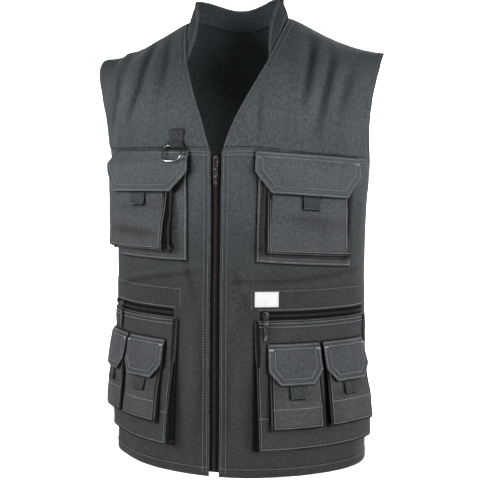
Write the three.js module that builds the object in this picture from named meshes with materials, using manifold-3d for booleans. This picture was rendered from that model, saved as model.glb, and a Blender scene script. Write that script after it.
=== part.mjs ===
// A utility work vest in its worn form: front and back panels, stand collar, zips, bellows pockets, D-ring.
// Millimetres, +Z up, the front faces -Y and the wearer's left is +X. The origin lies midway between the side
// neck points and 10 mm above them, where the collar seam rests on the shoulders.

import * as THREE from 'three';
import { mergeVertices } from 'three/addons/utils/BufferGeometryUtils.js';
import Module from 'manifold-3d';

const wasm = await Module();
wasm.setup();

// Body form
const vestLength = 677;
const halfWidth = 225;
const frontDepth = 143;
const backDepth = 124;
const shoulderRise = 210;
const shoulderDrop = 66;
const shoulderNeckHalf = 80;
const shoulderNeckEase = 25;
const shoulderHollow = 0.75;
const chestHollow = 0.55;
const backHollow = 0.3;
const clothThickness = 2;
const seamGap = 0.4;
const seatGap = 0.8;

// Standard half section: two arcs, a flat front arc and a tight side arc
const sectionHalfWidth = 190;
const sectionDepth = 132;
const frontArcAngle = THREE.MathUtils.degToRad(52);

// Heights are shares of the vest's length, the others are shares of the three body sizes above
const sections = [
  { down: 0.00, width: 1.000, front: 0.875, back: 0.95 },
  { down: 0.16, width: 1.005, front: 0.875, back: 0.95 },
  { down: 0.29, width: 0.918, front: 0.890, back: 0.95 },
  { down: 0.44, width: 0.871, front: 0.915, back: 0.95 },
  { down: 0.63, width: 0.862, front: 0.950, back: 0.95 },
  { down: 0.82, width: 0.870, front: 0.985, back: 0.98 },
  { down: 1.03, width: 0.870, front: 1.000, back: 1.00 },
];

// Neck and armholes
const vDepth = 212;
const neckHalf = 69;
const backNeckDrop = 58;
const armholeDepth = 250;
const frontOpening = 7;
const vEdge = [
  { down: 0.00, out: 1.00 },
  { down: 0.28, out: 0.93 },
  { down: 0.54, out: 0.77 },
  { down: 0.71, out: 0.55 },
  { down: 0.85, out: 0.32 },
  { down: 1.00, out: 0.10 },
];
// How far the armhole edge is scooped in from the side seam, as a share of the scoop
const frontScoop = 34;
const backScoop = 50;
const armholeEdge = [
  { down: 0.00, scoop: 0.20 },
  { down: 0.16, scoop: 0.65 },
  { down: 0.36, scoop: 0.95 },
  { down: 0.60, scoop: 1.00 },
  { down: 0.80, scoop: 0.75 },
  { down: 0.94, scoop: 0.25 },
  { down: 1.00, scoop: 0.00 },
];

// Folds that fall from the shoulders: around, down and length as shares of the half girth and the length
const foldHeight = 8;
const foldFade = 60;
const folds = [
  { side: -1, around: 0.86, down: 0.17, width: 0.060, length: 0.130, lean: 0.40, height: 0.90 },
  { side: -1, around: 0.66, down: 0.15, width: 0.035, length: 0.120, lean: 0.45, height: 0.60 },
  { side: -1, around: 0.47, down: 0.14, width: 0.035, length: 0.110, lean: 0.20, height: 0.45 },
  { side: 1, around: 0.72, down: 0.15, width: 0.040, length: 0.120, lean: 0.10, height: 0.40 },
  { side: 1, around: 0.50, down: 0.14, width: 0.045, length: 0.110, lean: -0.05, height: 0.35 },
  { side: -1, around: 0.30, down: 0.50, width: 0.060, length: 0.060, lean: 0.30, height: 0.25 },
  { side: 1, around: 0.40, down: 0.58, width: 0.160, length: 0.030, lean: 0.00, height: 0.30 },
];

// Collar
const collarHeight = 34;
const collarThickness = 2.6;
const collarSeat = 1.2;
const collarFrontDown = 112;
const collarLeanFront = THREE.MathUtils.degToRad(58);
const collarLeanBack = THREE.MathUtils.degToRad(20);
const collarRise = 0.24;

// Front zip
const tapeWidth = 13;
const tapeThickness = 1.1;
const chainWidth = 6;
const chainThickness = 2.6;
const zipHemMargin = 6;

// Zip sliders and pulls
const sliderWidth = 9;
const sliderLength = 12;
const sliderPlate = 2;
const bridgeWidth = 2.4;
const bridgeSpan = 8;
const bridgeBar = 0.9;
const pullBar = 1.2;
const pullWidth = 7;
const pullWindow = 4.6;
const pullWindowLength = 6.4;
const pullClearance = 0.5;
const frontPullLength = 38;
const pocketPullLength = 36;

// Chest pockets
const chestTop = 208;
const chestInner = 50;
const chestFlapWidth = 152;
const chestFlapHeight = 58;
const chestFlapCorner = 22;
const chestBandHeight = 7;
const chestPocketHeight = 142;
const chestBackingInset = 5;
const chestBackingWidth = 143;
const chestBackingHeight = 157;
const chestBackingThickness = 1.4;
const chestBoxTopDepth = 4.5;
const chestBoxInnerDepth = 24;
const chestTabWidth = 24;
const chestTabDrop = 22;

// Lower pockets
const lowerZipTop = 437;
const lowerZipHeight = 11;
const lowerInner = 57;
const lowerWidth = 178;
const lowerTaper = 6;
const lowerTop = 451;
const lowerHeight = 182;
const lowerTopDepth = 3.5;
const lowerInnerDepth = 23;

// Small pockets on the lower pockets
const smallTop = 482;
const smallBoxHeight = 118;
const smallBoxTopDepth = 4;
const smallFlapHeight = 56;
const smallFlapCorner = 14;
const smallTabWidth = 19;
const smallTabDrop = 21;
const smallPockets = [
  { name: 'inner', inset: 17, width: 72 },
  { name: 'outer', inset: 94, width: 72 },
];

const pocketWall = 1.6;
const flapGap = 1.1;
const flapThickness = 1.8;
const tabThickness = 1.4;

// D-ring and its webbing on the right chest
const ringBarDown = 204;
const ringInset = 56;
const ringWire = 3;
const ringWidth = 35;
const ringShift = 3.5;
const ringDrop = 29;
const ringTilt = THREE.MathUtils.degToRad(28);
const webbingWidth = 21;
const webbingThickness = 1.4;
const webbingRise = 24;
const webbingPlay = 0.35;
const webbingSeat = 0.1;

// Label
const labelInset = 56;
const labelDown = 408;
const labelWidth = 33;
const labelHeight = 22;
const labelThickness = 0.8;

// What differs between the two sides as the vest hangs. Shifts, insets, widths and the depths of the pockets'
// outer sides are millimetres, the droop is a slope and the slider's place a share of its zip.
const sides = [
  {
    name: 'left', sign: 1, chestShift: 3, chestDroop: 0.070, chestBoxInset: 18, chestBoxWidth: 122,
    chestOuterTop: 4.5, chestOuterDepth: 11, lowerOuterDepth: 13, smallDepth: 12, sliderShare: 0.04,
  },
  {
    name: 'right', sign: -1, chestShift: -12, chestDroop: 0.000, chestBoxInset: 30, chestBoxWidth: 124,
    chestOuterTop: 13, chestOuterDepth: 17, lowerOuterDepth: 5, smallDepth: 8.5, sliderShare: 0.64,
  },
];

// Materials
function finish(color, roughness, metalness = 0) {
  return new THREE.MeshStandardMaterial({ color, roughness, metalness });
}
const twill = () => finish(0x3d4345, 0.9);
const pocketTwill = () => finish(0x383e40, 0.9);
const zipTape = () => finish(0x17181a, 0.85);
const blackMetal = () => finish(0x1a1b1d, 0.4, 0.6);
const webbingWeave = () => finish(0x26292b, 0.8);
const nickel = () => finish(0xc9ccce, 0.25, 1);
const labelCloth = () => finish(0xf0f1ef, 0.8);

const vest = new THREE.Group();

function addMesh(parent, name, geometry, material) {
  const mesh = new THREE.Mesh(geometry, material);
  mesh.name = name;
  parent.add(mesh);
  return mesh;
}

const smooth = (share) => share * share * (3 - 2 * share);

// A table's column at a place between its rows, on a smooth curve through them
function along(table, column, place) {
  const last = table.length - 1;
  let row = 0;
  while (row < last - 1 && place > table[row + 1].down) row += 1;
  const span = table[row + 1].down - table[row].down;
  const share = THREE.MathUtils.clamp((place - table[row].down) / span, 0, 1);
  const slope = (at) => {
    const low = Math.max(at - 1, 0);
    const high = Math.min(at + 1, last);
    return (table[high][column] - table[low][column]) / (table[high].down - table[low].down);
  };
  const start = table[row][column];
  const end = table[row + 1][column];
  const bend = share * (1 - share);
  const lift = slope(row) * span * (1 - share) - slope(row + 1) * span * share;
  return start + (end - start) * share * share * (3 - 2 * share) + bend * lift;
}

// The two arcs of the standard half section: radii that meet its half width and depth
const sinArc = Math.sin(frontArcAngle);
const cosArc = Math.cos(frontArcAngle);
const arcBase = sinArc * cosArc - (1 - sinArc) * (1 - cosArc);
const frontRadius = (sectionHalfWidth * cosArc - sectionDepth * (1 - sinArc)) / arcBase;
const sideRadius = (sectionDepth * sinArc - sectionHalfWidth * (1 - cosArc)) / arcBase;
const frontArc = frontRadius * frontArcAngle;
const halfGirth = frontArc + sideRadius * (Math.PI / 2 - frontArcAngle);

// A point of the vest's inner face: girth is measured round the standard section from the centre line, with
// the wearer's left positive, and down is the height below the neck points.
function basePoint(girth, down, back) {
  const share = down / vestLength;
  const round = Math.min(Math.abs(girth), halfGirth);
  const onFront = round <= frontArc;
  const turn = onFront ? round / frontRadius : frontArcAngle + (round - frontArc) / sideRadius;
  const across = onFront
    ? frontRadius * Math.sin(turn)
    : (frontRadius - sideRadius) * sinArc + sideRadius * Math.sin(turn);
  const deep = onFront
    ? sectionDepth - frontRadius * (1 - Math.cos(turn))
    : sideRadius * Math.cos(turn);
  const width = halfWidth * along(sections, 'width', share);
  const depth = back ? backDepth * along(sections, 'back', share) : frontDepth * along(sections, 'front', share);
  const x = width * across / sectionHalfWidth;
  let y = depth * deep / sectionDepth;
  let z = -down;
  if (down < shoulderRise) {
    const roll = (1 - down / shoulderRise) * Math.PI / 2;
    y *= Math.cos(roll) * (1 - (back ? backHollow : chestHollow) * Math.sin(roll) ** 2);
    z = shoulderRise * (Math.sin(roll) - 1);
    const reach = x - shoulderNeckHalf;
    const out = (reach + Math.hypot(reach, shoulderNeckEase)) / 2 / (width - shoulderNeckHalf);
    z -= shoulderDrop * Math.sin(roll) ** 3 * out * (1 + shoulderHollow * (1 - out));
  }
  return new THREE.Vector3(Math.sign(girth) * x, back ? y : -y, z);
}

function foldAt(girth, down) {
  let height = 0;
  for (const fold of folds) {
    if (Math.sign(girth) !== fold.side) continue;
    const below = down / vestLength - fold.down;
    const aside = Math.abs(girth) / halfGirth - fold.around - fold.lean * below;
    height += fold.height * Math.exp(-((aside / fold.width) ** 2) - (below / fold.length) ** 2);
  }
  return foldHeight * height * smooth(Math.min(down / foldFade, 1));
}

// The outward direction and the directions along the cloth at a point
function frameAt(girth, down, back) {
  const step = 0.5;
  const side = Math.sign(girth) || 1;
  const reach = THREE.MathUtils.clamp(Math.abs(girth), step, halfGirth - step) * side;
  const level = Math.max(down, step);
  const here = (shift, drop) => basePoint(reach + shift, level + drop, back);
  const across = here(step, 0).sub(here(-step, 0)).normalize();
  const up = here(0, -step).sub(here(0, step)).normalize();
  const out = new THREE.Vector3().crossVectors(across, up).normalize();
  if (back) out.negate();
  return { across, up, out };
}

function clothPoint(girth, down, depth, back = false) {
  const rise = depth + (back ? 0 : foldAt(girth, down));
  return basePoint(girth, down, back).addScaledVector(frameAt(girth, down, back).out, rise);
}

function joined(geometry) {
  geometry.deleteAttribute('normal');
  geometry.deleteAttribute('uv');
  return mergeVertices(geometry, 1e-3);
}

// Key rows { down, from, to } with the rows between them
function rowsThrough(keys, steps) {
  const rows = [keys[0]];
  for (let key = 1; key < keys.length; key += 1) {
    for (let step = 1; step <= steps; step += 1) {
      const row = {};
      for (const column of Object.keys(keys[key])) {
        row[column] = THREE.MathUtils.lerp(keys[key - 1][column], keys[key][column], step / steps);
      }
      rows.push(row);
    }
  }
  return rows;
}

// A piece of cloth laid on the body between two depths: one row of the table is one level of the grid.
// The depths are functions of the girth's share across the row, the row's share down and the place. With crowd
// above 0 the columns lie closer together in the middle.
function cloth({ rows, across, sign = 1, back = false, crowd = 0, under, over, drop = () => 0 }) {
  const geometry = new THREE.BoxGeometry(1, 1, 1, across, rows.length - 1, 1);
  const place = geometry.getAttribute('position');
  const turned = sign * (back ? -1 : 1) < 0;
  for (let i = 0; i < place.count; i += 1) {
    const even = turned ? -place.getX(i) : place.getX(i);
    const share = 0.5 + even * (1 - crowd + 4 * crowd * even * even);
    const level = Math.round((0.5 - place.getY(i)) * (rows.length - 1));
    const row = rows[level];
    const girth = THREE.MathUtils.lerp(row.from, row.to, share);
    const down = row.down + drop(girth, row.down);
    const depth = (place.getZ(i) > 0 ? over : under)(share, level / (rows.length - 1), girth, down);
    const point = clothPoint(sign * girth, down, depth, back);
    place.setXYZ(i, point.x, point.y, point.z);
  }
  return joined(geometry);
}

function solid(geometry) {
  const vertProperties = Float32Array.from(geometry.getAttribute('position').array);
  const triVerts = Uint32Array.from(geometry.getIndex().array);
  return new wasm.Manifold(new wasm.Mesh({ numProp: 3, vertProperties, triVerts }));
}

function geometryOf(body) {
  const mesh = body.getMesh();
  const geometry = new THREE.BufferGeometry();
  geometry.setAttribute('position', new THREE.BufferAttribute(Float32Array.from(mesh.vertProperties), 3));
  geometry.setIndex(new THREE.BufferAttribute(Uint32Array.from(mesh.triVerts), 1));
  return geometry;
}

// A patch pocket: a front wall with side and bottom gussets, open at the top and against the panel
function pocketBox({ rows, across, sign, under, over, drop, wall }) {
  const outer = cloth({ rows, across, sign, under, over, drop });
  const last = rows.length - 1;
  const hollow = rows.map((row, level) => ({
    down: level === 0 ? row.down - wall : row.down - (level === last ? wall : 0),
    from: row.from + wall,
    to: row.to - wall,
  }));
  const inner = cloth({
    rows: hollow,
    across,
    sign,
    drop,
    under: (...at) => under(...at) - wall,
    over: (...at) => over(...at) - wall,
  });
  return geometryOf(solid(outer).subtract(solid(inner)));
}

const constant = (value) => () => value;

function vEdgeAt(down) {
  if (down >= vDepth) return frontOpening;
  return Math.max(neckHalf * along(vEdge, 'out', down / vDepth), frontOpening);
}

function armEdgeAt(down, scoop) {
  const sideSeam = halfGirth - seamGap / 2;
  if (down >= armholeDepth) return sideSeam;
  return sideSeam - scoop * along(armholeEdge, 'scoop', down / armholeDepth);
}

// Front and back panels
const panelLevels = [
  0.002, 0.012, 0.03, 0.055, 0.085, 0.12, 0.155, 0.19, 0.22, 0.25, 0.28, 0.312, 0.345, 0.3676,
  0.41, 0.46, 0.52, 0.58, 0.64, 0.70, 0.77, 0.84, 0.92, 1.0,
];

function buildPanels() {
  for (const { name, sign } of sides) {
    const rows = panelLevels.map((share) => {
      const down = share * vestLength;
      return { down, from: vEdgeAt(down), to: armEdgeAt(down, frontScoop) };
    });
    const panel = cloth({ rows, across: 13, sign, under: constant(0), over: constant(clothThickness) });
    addMesh(vest, `front_panel_${name}`, panel, twill());
  }
  const rows = panelLevels.map((share) => {
    const down = share * vestLength;
    const edge = armEdgeAt(down, backScoop);
    return { down, from: -edge, to: edge };
  });
  const drop = (girth, down) => {
    const fade = Math.max(1 - down / (armholeDepth / 2), 0);
    return backNeckDrop * fade * Math.max(1 - (girth / neckHalf) ** 2, 0);
  };
  const back = cloth({
    rows, across: 20, back: true, crowd: 0.3, drop, under: constant(0), over: constant(clothThickness),
  });
  addMesh(vest, 'back_panel', back, twill());
}

// Stand collar: a band on the neck edge that starts as a point on each front edge
function neckEdge() {
  const points = [];
  const frontSteps = 5;
  const backSteps = 7;
  for (let step = 0; step < frontSteps; step += 1) {
    const down = collarFrontDown * (1 - step / frontSteps);
    points.push(clothPoint(vEdgeAt(down), down, 0));
  }
  for (let step = 0; step <= backSteps; step += 1) {
    const girth = neckHalf * (1 - step / backSteps);
    const down = backNeckDrop * (1 - (girth / neckHalf) ** 2);
    points.push(clothPoint(girth + 1e-6, down, 0, true));
  }
  const mirrored = points.slice(0, -1).reverse().map((point) => new THREE.Vector3(-point.x, point.y, point.z));
  return new THREE.CatmullRomCurve3([...points, ...mirrored], false, 'centripetal');
}

function buildCollar() {
  const curve = neckEdge();
  const up = new THREE.Vector3(0, 0, 1);
  const geometry = new THREE.BoxGeometry(1, 1, 1, 40, 3, 1);
  const place = geometry.getAttribute('position');
  for (let i = 0; i < place.count; i += 1) {
    const share = place.getX(i) + 0.5;
    const rise = place.getY(i) + 0.5;
    const tangent = curve.getTangentAt(share);
    const out = new THREE.Vector3().crossVectors(tangent, up).normalize();
    const toEnd = Math.min(share, 1 - share) / collarRise;
    const full = Math.sin(Math.min(toEnd, 1) * Math.PI / 2);
    const lean = THREE.MathUtils.lerp(collarLeanFront, collarLeanBack, Math.min(toEnd, 1));
    const height = Math.max(collarHeight * full, 1.5);
    const outward = place.getZ(i) > 0 ? 0 : -collarThickness;
    const point = curve.getPointAt(share);
    point.addScaledVector(out, -collarSeat - Math.sin(lean) * height * rise + Math.cos(lean) * outward);
    point.addScaledVector(up, Math.cos(lean) * height * rise + Math.sin(lean) * outward);
    place.setXYZ(i, point.x, point.y, point.z);
  }
  addMesh(vest, 'collar', joined(geometry), twill());
}

// Front zip: two tapes under the panels' edges and the closed chain between them
function buildFrontZip() {
  const top = vDepth + 1;
  const bottom = vestLength - zipHemMargin;
  const levels = rowsThrough([{ down: top }, { down: bottom }], 16);
  const tapeFrom = chainWidth / 2 + seamGap;
  for (const { name, sign } of sides) {
    const rows = levels.map(({ down }) => ({ down, from: tapeFrom, to: tapeFrom + tapeWidth }));
    const tape = cloth({
      rows, across: 1, sign, under: constant(-seamGap - tapeThickness), over: constant(-seamGap),
    });
    addMesh(vest, `front_zip_tape_${name}`, tape, zipTape());
  }
  const rows = levels.map(({ down }) => ({ down, from: -chainWidth / 2, to: chainWidth / 2 }));
  const under = constant(-tapeThickness - seamGap);
  const over = constant(chainThickness - tapeThickness - seamGap);
  addMesh(vest, 'front_zip_chain', cloth({ rows, across: 2, under, over }), zipTape());
}

// A group standing on the cloth: x across, y up along the cloth, z outward
function standOn(girth, down, depth) {
  const { across, up, out } = frameAt(girth, down, false);
  const upright = new THREE.Vector3().crossVectors(out, across).normalize();
  const group = new THREE.Group();
  group.quaternion.setFromRotationMatrix(new THREE.Matrix4().makeBasis(across, upright, out));
  group.position.copy(clothPoint(girth, down, depth));
  vest.add(group);
  return group;
}

function roundedBar(width, length, corner) {
  const shape = new THREE.Shape();
  shape.moveTo(-width / 2 + corner, -length / 2);
  shape.lineTo(width / 2 - corner, -length / 2);
  shape.lineTo(width / 2, -length / 2 + corner);
  shape.lineTo(width / 2, length / 2 - corner);
  shape.lineTo(width / 2 - corner, length / 2);
  shape.lineTo(-width / 2 + corner, length / 2);
  shape.lineTo(-width / 2, length / 2 - corner);
  shape.lineTo(-width / 2, -length / 2 + corner);
  shape.closePath();
  return shape;
}

// A slider: a plate on the chain with a bridge over its pull's bar
const bridgeRise = pullBar + 2 * pullClearance;
const barCentre = sliderPlate + bridgeRise / 2;

function sliderGeometry() {
  const plate = new THREE.ExtrudeGeometry(roundedBar(sliderWidth, sliderLength, 2.2), {
    depth: sliderPlate, bevelEnabled: false,
  });
  const half = bridgeSpan / 2;
  const arch = new THREE.Shape();
  arch.moveTo(-half - bridgeBar, sliderPlate / 2);
  arch.lineTo(-half - bridgeBar, sliderPlate + bridgeRise * 0.6);
  arch.lineTo(-half, sliderPlate + bridgeRise + bridgeBar);
  arch.lineTo(half, sliderPlate + bridgeRise + bridgeBar);
  arch.lineTo(half + bridgeBar, sliderPlate + bridgeRise * 0.6);
  arch.lineTo(half + bridgeBar, sliderPlate / 2);
  arch.lineTo(half, sliderPlate / 2);
  arch.lineTo(half, sliderPlate + bridgeRise);
  arch.lineTo(-half, sliderPlate + bridgeRise);
  arch.lineTo(-half, sliderPlate / 2);
  arch.closePath();
  const bridge = new THREE.ExtrudeGeometry(arch, { depth: bridgeWidth, bevelEnabled: false });
  bridge.translate(0, 0, -bridgeWidth / 2);
  bridge.applyMatrix4(new THREE.Matrix4().makeBasis(
    new THREE.Vector3(0, 1, 0), new THREE.Vector3(0, 0, 1), new THREE.Vector3(1, 0, 0),
  ));
  return geometryOf(solid(joined(plate)).add(solid(joined(bridge))));
}

// A pull hangs from its bar, which lies on the local x axis
function pullGeometry(length) {
  const shape = new THREE.Shape();
  const top = pullBar / 2;
  const half = pullWidth / 2;
  shape.moveTo(-half, top);
  shape.lineTo(-half, -length * 0.45);
  shape.lineTo(-half * 0.7, -length + 1.5);
  shape.lineTo(-half * 0.4, -length);
  shape.lineTo(half * 0.4, -length);
  shape.lineTo(half * 0.7, -length + 1.5);
  shape.lineTo(half, -length * 0.45);
  shape.lineTo(half, top);
  shape.closePath();
  const window = new THREE.Path();
  window.moveTo(-pullWindow / 2, -top);
  window.lineTo(-pullWindow / 2, -top - pullWindowLength);
  window.lineTo(pullWindow / 2, -top - pullWindowLength);
  window.lineTo(pullWindow / 2, -top);
  window.closePath();
  shape.holes.push(window);
  const geometry = new THREE.ExtrudeGeometry(shape, { depth: pullBar, bevelEnabled: false });
  geometry.translate(0, 0, -pullBar / 2);
  return joined(geometry);
}

function addSlider(stand, sliderName, pullName, pullLength) {
  addMesh(stand, sliderName, sliderGeometry(), blackMetal());
  const pull = addMesh(stand, pullName, pullGeometry(pullLength), blackMetal());
  pull.position.z = barCentre;
}

function buildFrontSlider() {
  const chainFace = chainThickness - tapeThickness - seamGap;
  const stand = standOn(0.001, vDepth + sliderLength / 2 + 2, chainFace + seamGap);
  addSlider(stand, 'front_zip_slider', 'front_zip_pull', frontPullLength);
}

// A flap's rows: straight sides, then corners cut off towards the lower edge
function flapRows(top, inner, width, height, corner) {
  const outer = inner + width;
  const low = top + height;
  const bend = low - corner * 1.3;
  return [
    ...rowsThrough([{ down: top, from: inner, to: outer }, { down: bend, from: inner, to: outer }], 2),
    { down: low, from: inner + corner, to: outer - corner },
  ];
}

// Chest pockets: a flat backing, the bellows box on it, a flap over both and a tab under the flap's edge
function buildChestPockets() {
  for (const side of sides) {
    const { name, sign, chestBoxWidth } = side;
    const inner = chestInner + side.chestShift;
    const drop = (girth) => side.chestDroop * (girth - inner);
    const seat = clothThickness + seatGap;
    const backingFace = seat + chestBackingThickness;
    const backingFrom = inner + chestBackingInset;
    const backingTop = chestTop + chestBandHeight + 2;
    const backing = cloth({
      rows: rowsThrough([
        { down: backingTop, from: backingFrom, to: backingFrom + chestBackingWidth },
        { down: chestTop + chestBackingHeight, from: backingFrom, to: backingFrom + chestBackingWidth },
      ], 4),
      across: 10,
      sign,
      drop,
      under: constant(seat),
      over: constant(backingFace),
    });
    addMesh(vest, `chest_pocket_backing_${name}`, backing, pocketTwill());

    const boxFrom = inner + side.chestBoxInset;
    const boxTop = backingTop + 5;
    const boxBottom = chestTop + chestPocketHeight;
    const boxRow = (down) => ({ down, from: boxFrom, to: boxFrom + chestBoxWidth });
    const boxFace = (girth, down) => {
      const across = THREE.MathUtils.clamp((girth - boxFrom) / chestBoxWidth, 0, 1);
      const fall = smooth(THREE.MathUtils.clamp((down - boxTop) / (boxBottom - boxTop), 0, 1));
      const top = THREE.MathUtils.lerp(chestBoxTopDepth, side.chestOuterTop, across);
      const deepest = THREE.MathUtils.lerp(chestBoxInnerDepth, side.chestOuterDepth, across);
      return THREE.MathUtils.lerp(top, deepest, fall);
    };
    const box = pocketBox({
      rows: rowsThrough([boxRow(boxTop), boxRow(boxBottom)], 5),
      across: 7,
      sign,
      drop,
      wall: pocketWall,
      under: constant(backingFace + seatGap),
      over: (across, fall, girth, down) => backingFace + boxFace(girth, down),
    });
    addMesh(vest, `chest_pocket_box_${name}`, box, pocketTwill());

    // The flap leaves the panel at its seam and comes to lie on the box
    const flapFace = (girth, down) => {
      const fall = THREE.MathUtils.clamp((down - chestTop) / (boxTop - chestTop), 0, 1);
      const onBox = backingFace + boxFace(girth, down) + flapGap;
      return THREE.MathUtils.lerp(seat, onBox, fall);
    };
    const rows = flapRows(chestTop, inner, chestFlapWidth, chestFlapHeight, chestFlapCorner);
    rows.splice(1, 0, { ...rows[0], down: boxTop });
    const flap = cloth({
      rows,
      across: 9,
      sign,
      drop,
      under: (across, fall, girth, down) => flapFace(girth, down),
      over: (across, fall, girth, down) => flapFace(girth, down) + flapThickness,
    });
    addMesh(vest, `chest_pocket_flap_${name}`, flap, twill());

    const tabFrom = inner + chestFlapWidth / 2 - chestTabWidth / 2;
    const tabRow = (down) => ({ down, from: tabFrom, to: tabFrom + chestTabWidth });
    const tabTop = chestTop + chestFlapHeight + seamGap;
    const tab = cloth({
      rows: rowsThrough([tabRow(tabTop), tabRow(tabTop + chestTabDrop)], 2),
      across: 2,
      sign,
      drop,
      under: (across, fall, girth, down) => flapFace(girth, down),
      over: (across, fall, girth, down) => flapFace(girth, down) + tabThickness,
    });
    addMesh(vest, `chest_pocket_tab_${name}`, tab, pocketTwill());
  }
}

// Lower pockets: a box on the panel, a zip above it and two small flapped pockets on its face
function buildLowerPockets() {
  const seat = clothThickness + seatGap;
  const outer = lowerInner + lowerWidth;
  const bottom = lowerTop + lowerHeight;
  for (const { name, sign, lowerOuterDepth, smallDepth, sliderShare } of sides) {
    const lowerFace = (girth, down) => {
      const across = THREE.MathUtils.clamp((girth - lowerInner) / lowerWidth, 0, 1);
      const fall = smooth(THREE.MathUtils.clamp((down - lowerTop) / lowerHeight, 0, 1));
      const deepest = THREE.MathUtils.lerp(lowerInnerDepth, lowerOuterDepth, across);
      return clothThickness + THREE.MathUtils.lerp(lowerTopDepth, deepest, fall);
    };
    const box = pocketBox({
      rows: rowsThrough([
        { down: lowerTop, from: lowerInner, to: outer },
        { down: bottom, from: lowerInner + lowerTaper, to: outer },
      ], 6),
      across: 10,
      sign,
      wall: pocketWall,
      under: constant(seat),
      over: (across, fall, girth, down) => lowerFace(girth, down),
    });
    addMesh(vest, `lower_pocket_box_${name}`, box, pocketTwill());

    const zipFrom = lowerInner + 7;
    const zipRow = (down) => ({ down, from: zipFrom, to: outer - 2 });
    const zip = cloth({
      rows: rowsThrough([zipRow(lowerZipTop), zipRow(lowerZipTop + lowerZipHeight)], 2),
      across: 10,
      sign,
      under: constant(seat),
      over: (across, fall) => seat + tapeThickness + (fall === 0.5 ? chainThickness / 2 : 0),
    });
    addMesh(vest, `lower_pocket_zip_${name}`, zip, zipTape());

    const sliderAt = zipFrom + sliderShare * lowerWidth;
    const sliderDepth = seat + tapeThickness + chainThickness / 2 + seatGap;
    const stand = standOn(sign * sliderAt, lowerZipTop + lowerZipHeight / 2, sliderDepth);
    addSlider(stand, `lower_pocket_slider_${name}`, `lower_pocket_pull_${name}`, pocketPullLength);

    for (const small of smallPockets) {
      const from = lowerInner + small.inset;
      const to = from + small.width;
      const boxTop = smallTop + 8;
      const boxBottom = smallTop + smallBoxHeight;
      const smallFace = (girth, down) => {
        const fall = smooth(THREE.MathUtils.clamp((down - boxTop) / (boxBottom - boxTop), 0, 1));
        return lowerFace(girth, down) + seatGap + THREE.MathUtils.lerp(smallBoxTopDepth, smallDepth, fall);
      };
      const smallRow = (down) => ({ down, from: from + 3, to: to - 3 });
      const smallBox = pocketBox({
        rows: rowsThrough([smallRow(boxTop), smallRow(boxBottom)], 4),
        across: 4,
        sign,
        wall: pocketWall,
        under: (across, fall, girth, down) => lowerFace(girth, down) + seatGap,
        over: (across, fall, girth, down) => smallFace(girth, down),
      });
      addMesh(vest, `small_${small.name}_box_${name}`, smallBox, pocketTwill());

      const flapFace = (girth, down) => {
        const fall = THREE.MathUtils.clamp((down - smallTop) / (boxTop - smallTop), 0, 1);
        const onPocket = lowerFace(girth, down) + seatGap;
        return THREE.MathUtils.lerp(onPocket, smallFace(girth, down) + flapGap, fall);
      };
      const rows = flapRows(smallTop, from, small.width, smallFlapHeight, smallFlapCorner);
      rows.splice(1, 0, { ...rows[0], down: boxTop });
      const flap = cloth({
        rows,
        across: 5,
        sign,
        under: (across, fall, girth, down) => flapFace(girth, down),
        over: (across, fall, girth, down) => flapFace(girth, down) + flapThickness,
      });
      addMesh(vest, `small_${small.name}_flap_${name}`, flap, twill());

      const tabFrom = from + (small.width - smallTabWidth) / 2;
      const tabRow = (down) => ({ down, from: tabFrom, to: tabFrom + smallTabWidth });
      const tabTop = smallTop + smallFlapHeight + seamGap;
      const tab = cloth({
        rows: rowsThrough([tabRow(tabTop), tabRow(tabTop + smallTabDrop)], 2),
        across: 2,
        sign,
        under: (across, fall, girth, down) => flapFace(girth, down),
        over: (across, fall, girth, down) => flapFace(girth, down) + tabThickness,
      });
      addMesh(vest, `small_${small.name}_tab_${name}`, tab, pocketTwill());
    }
  }
}

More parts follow.
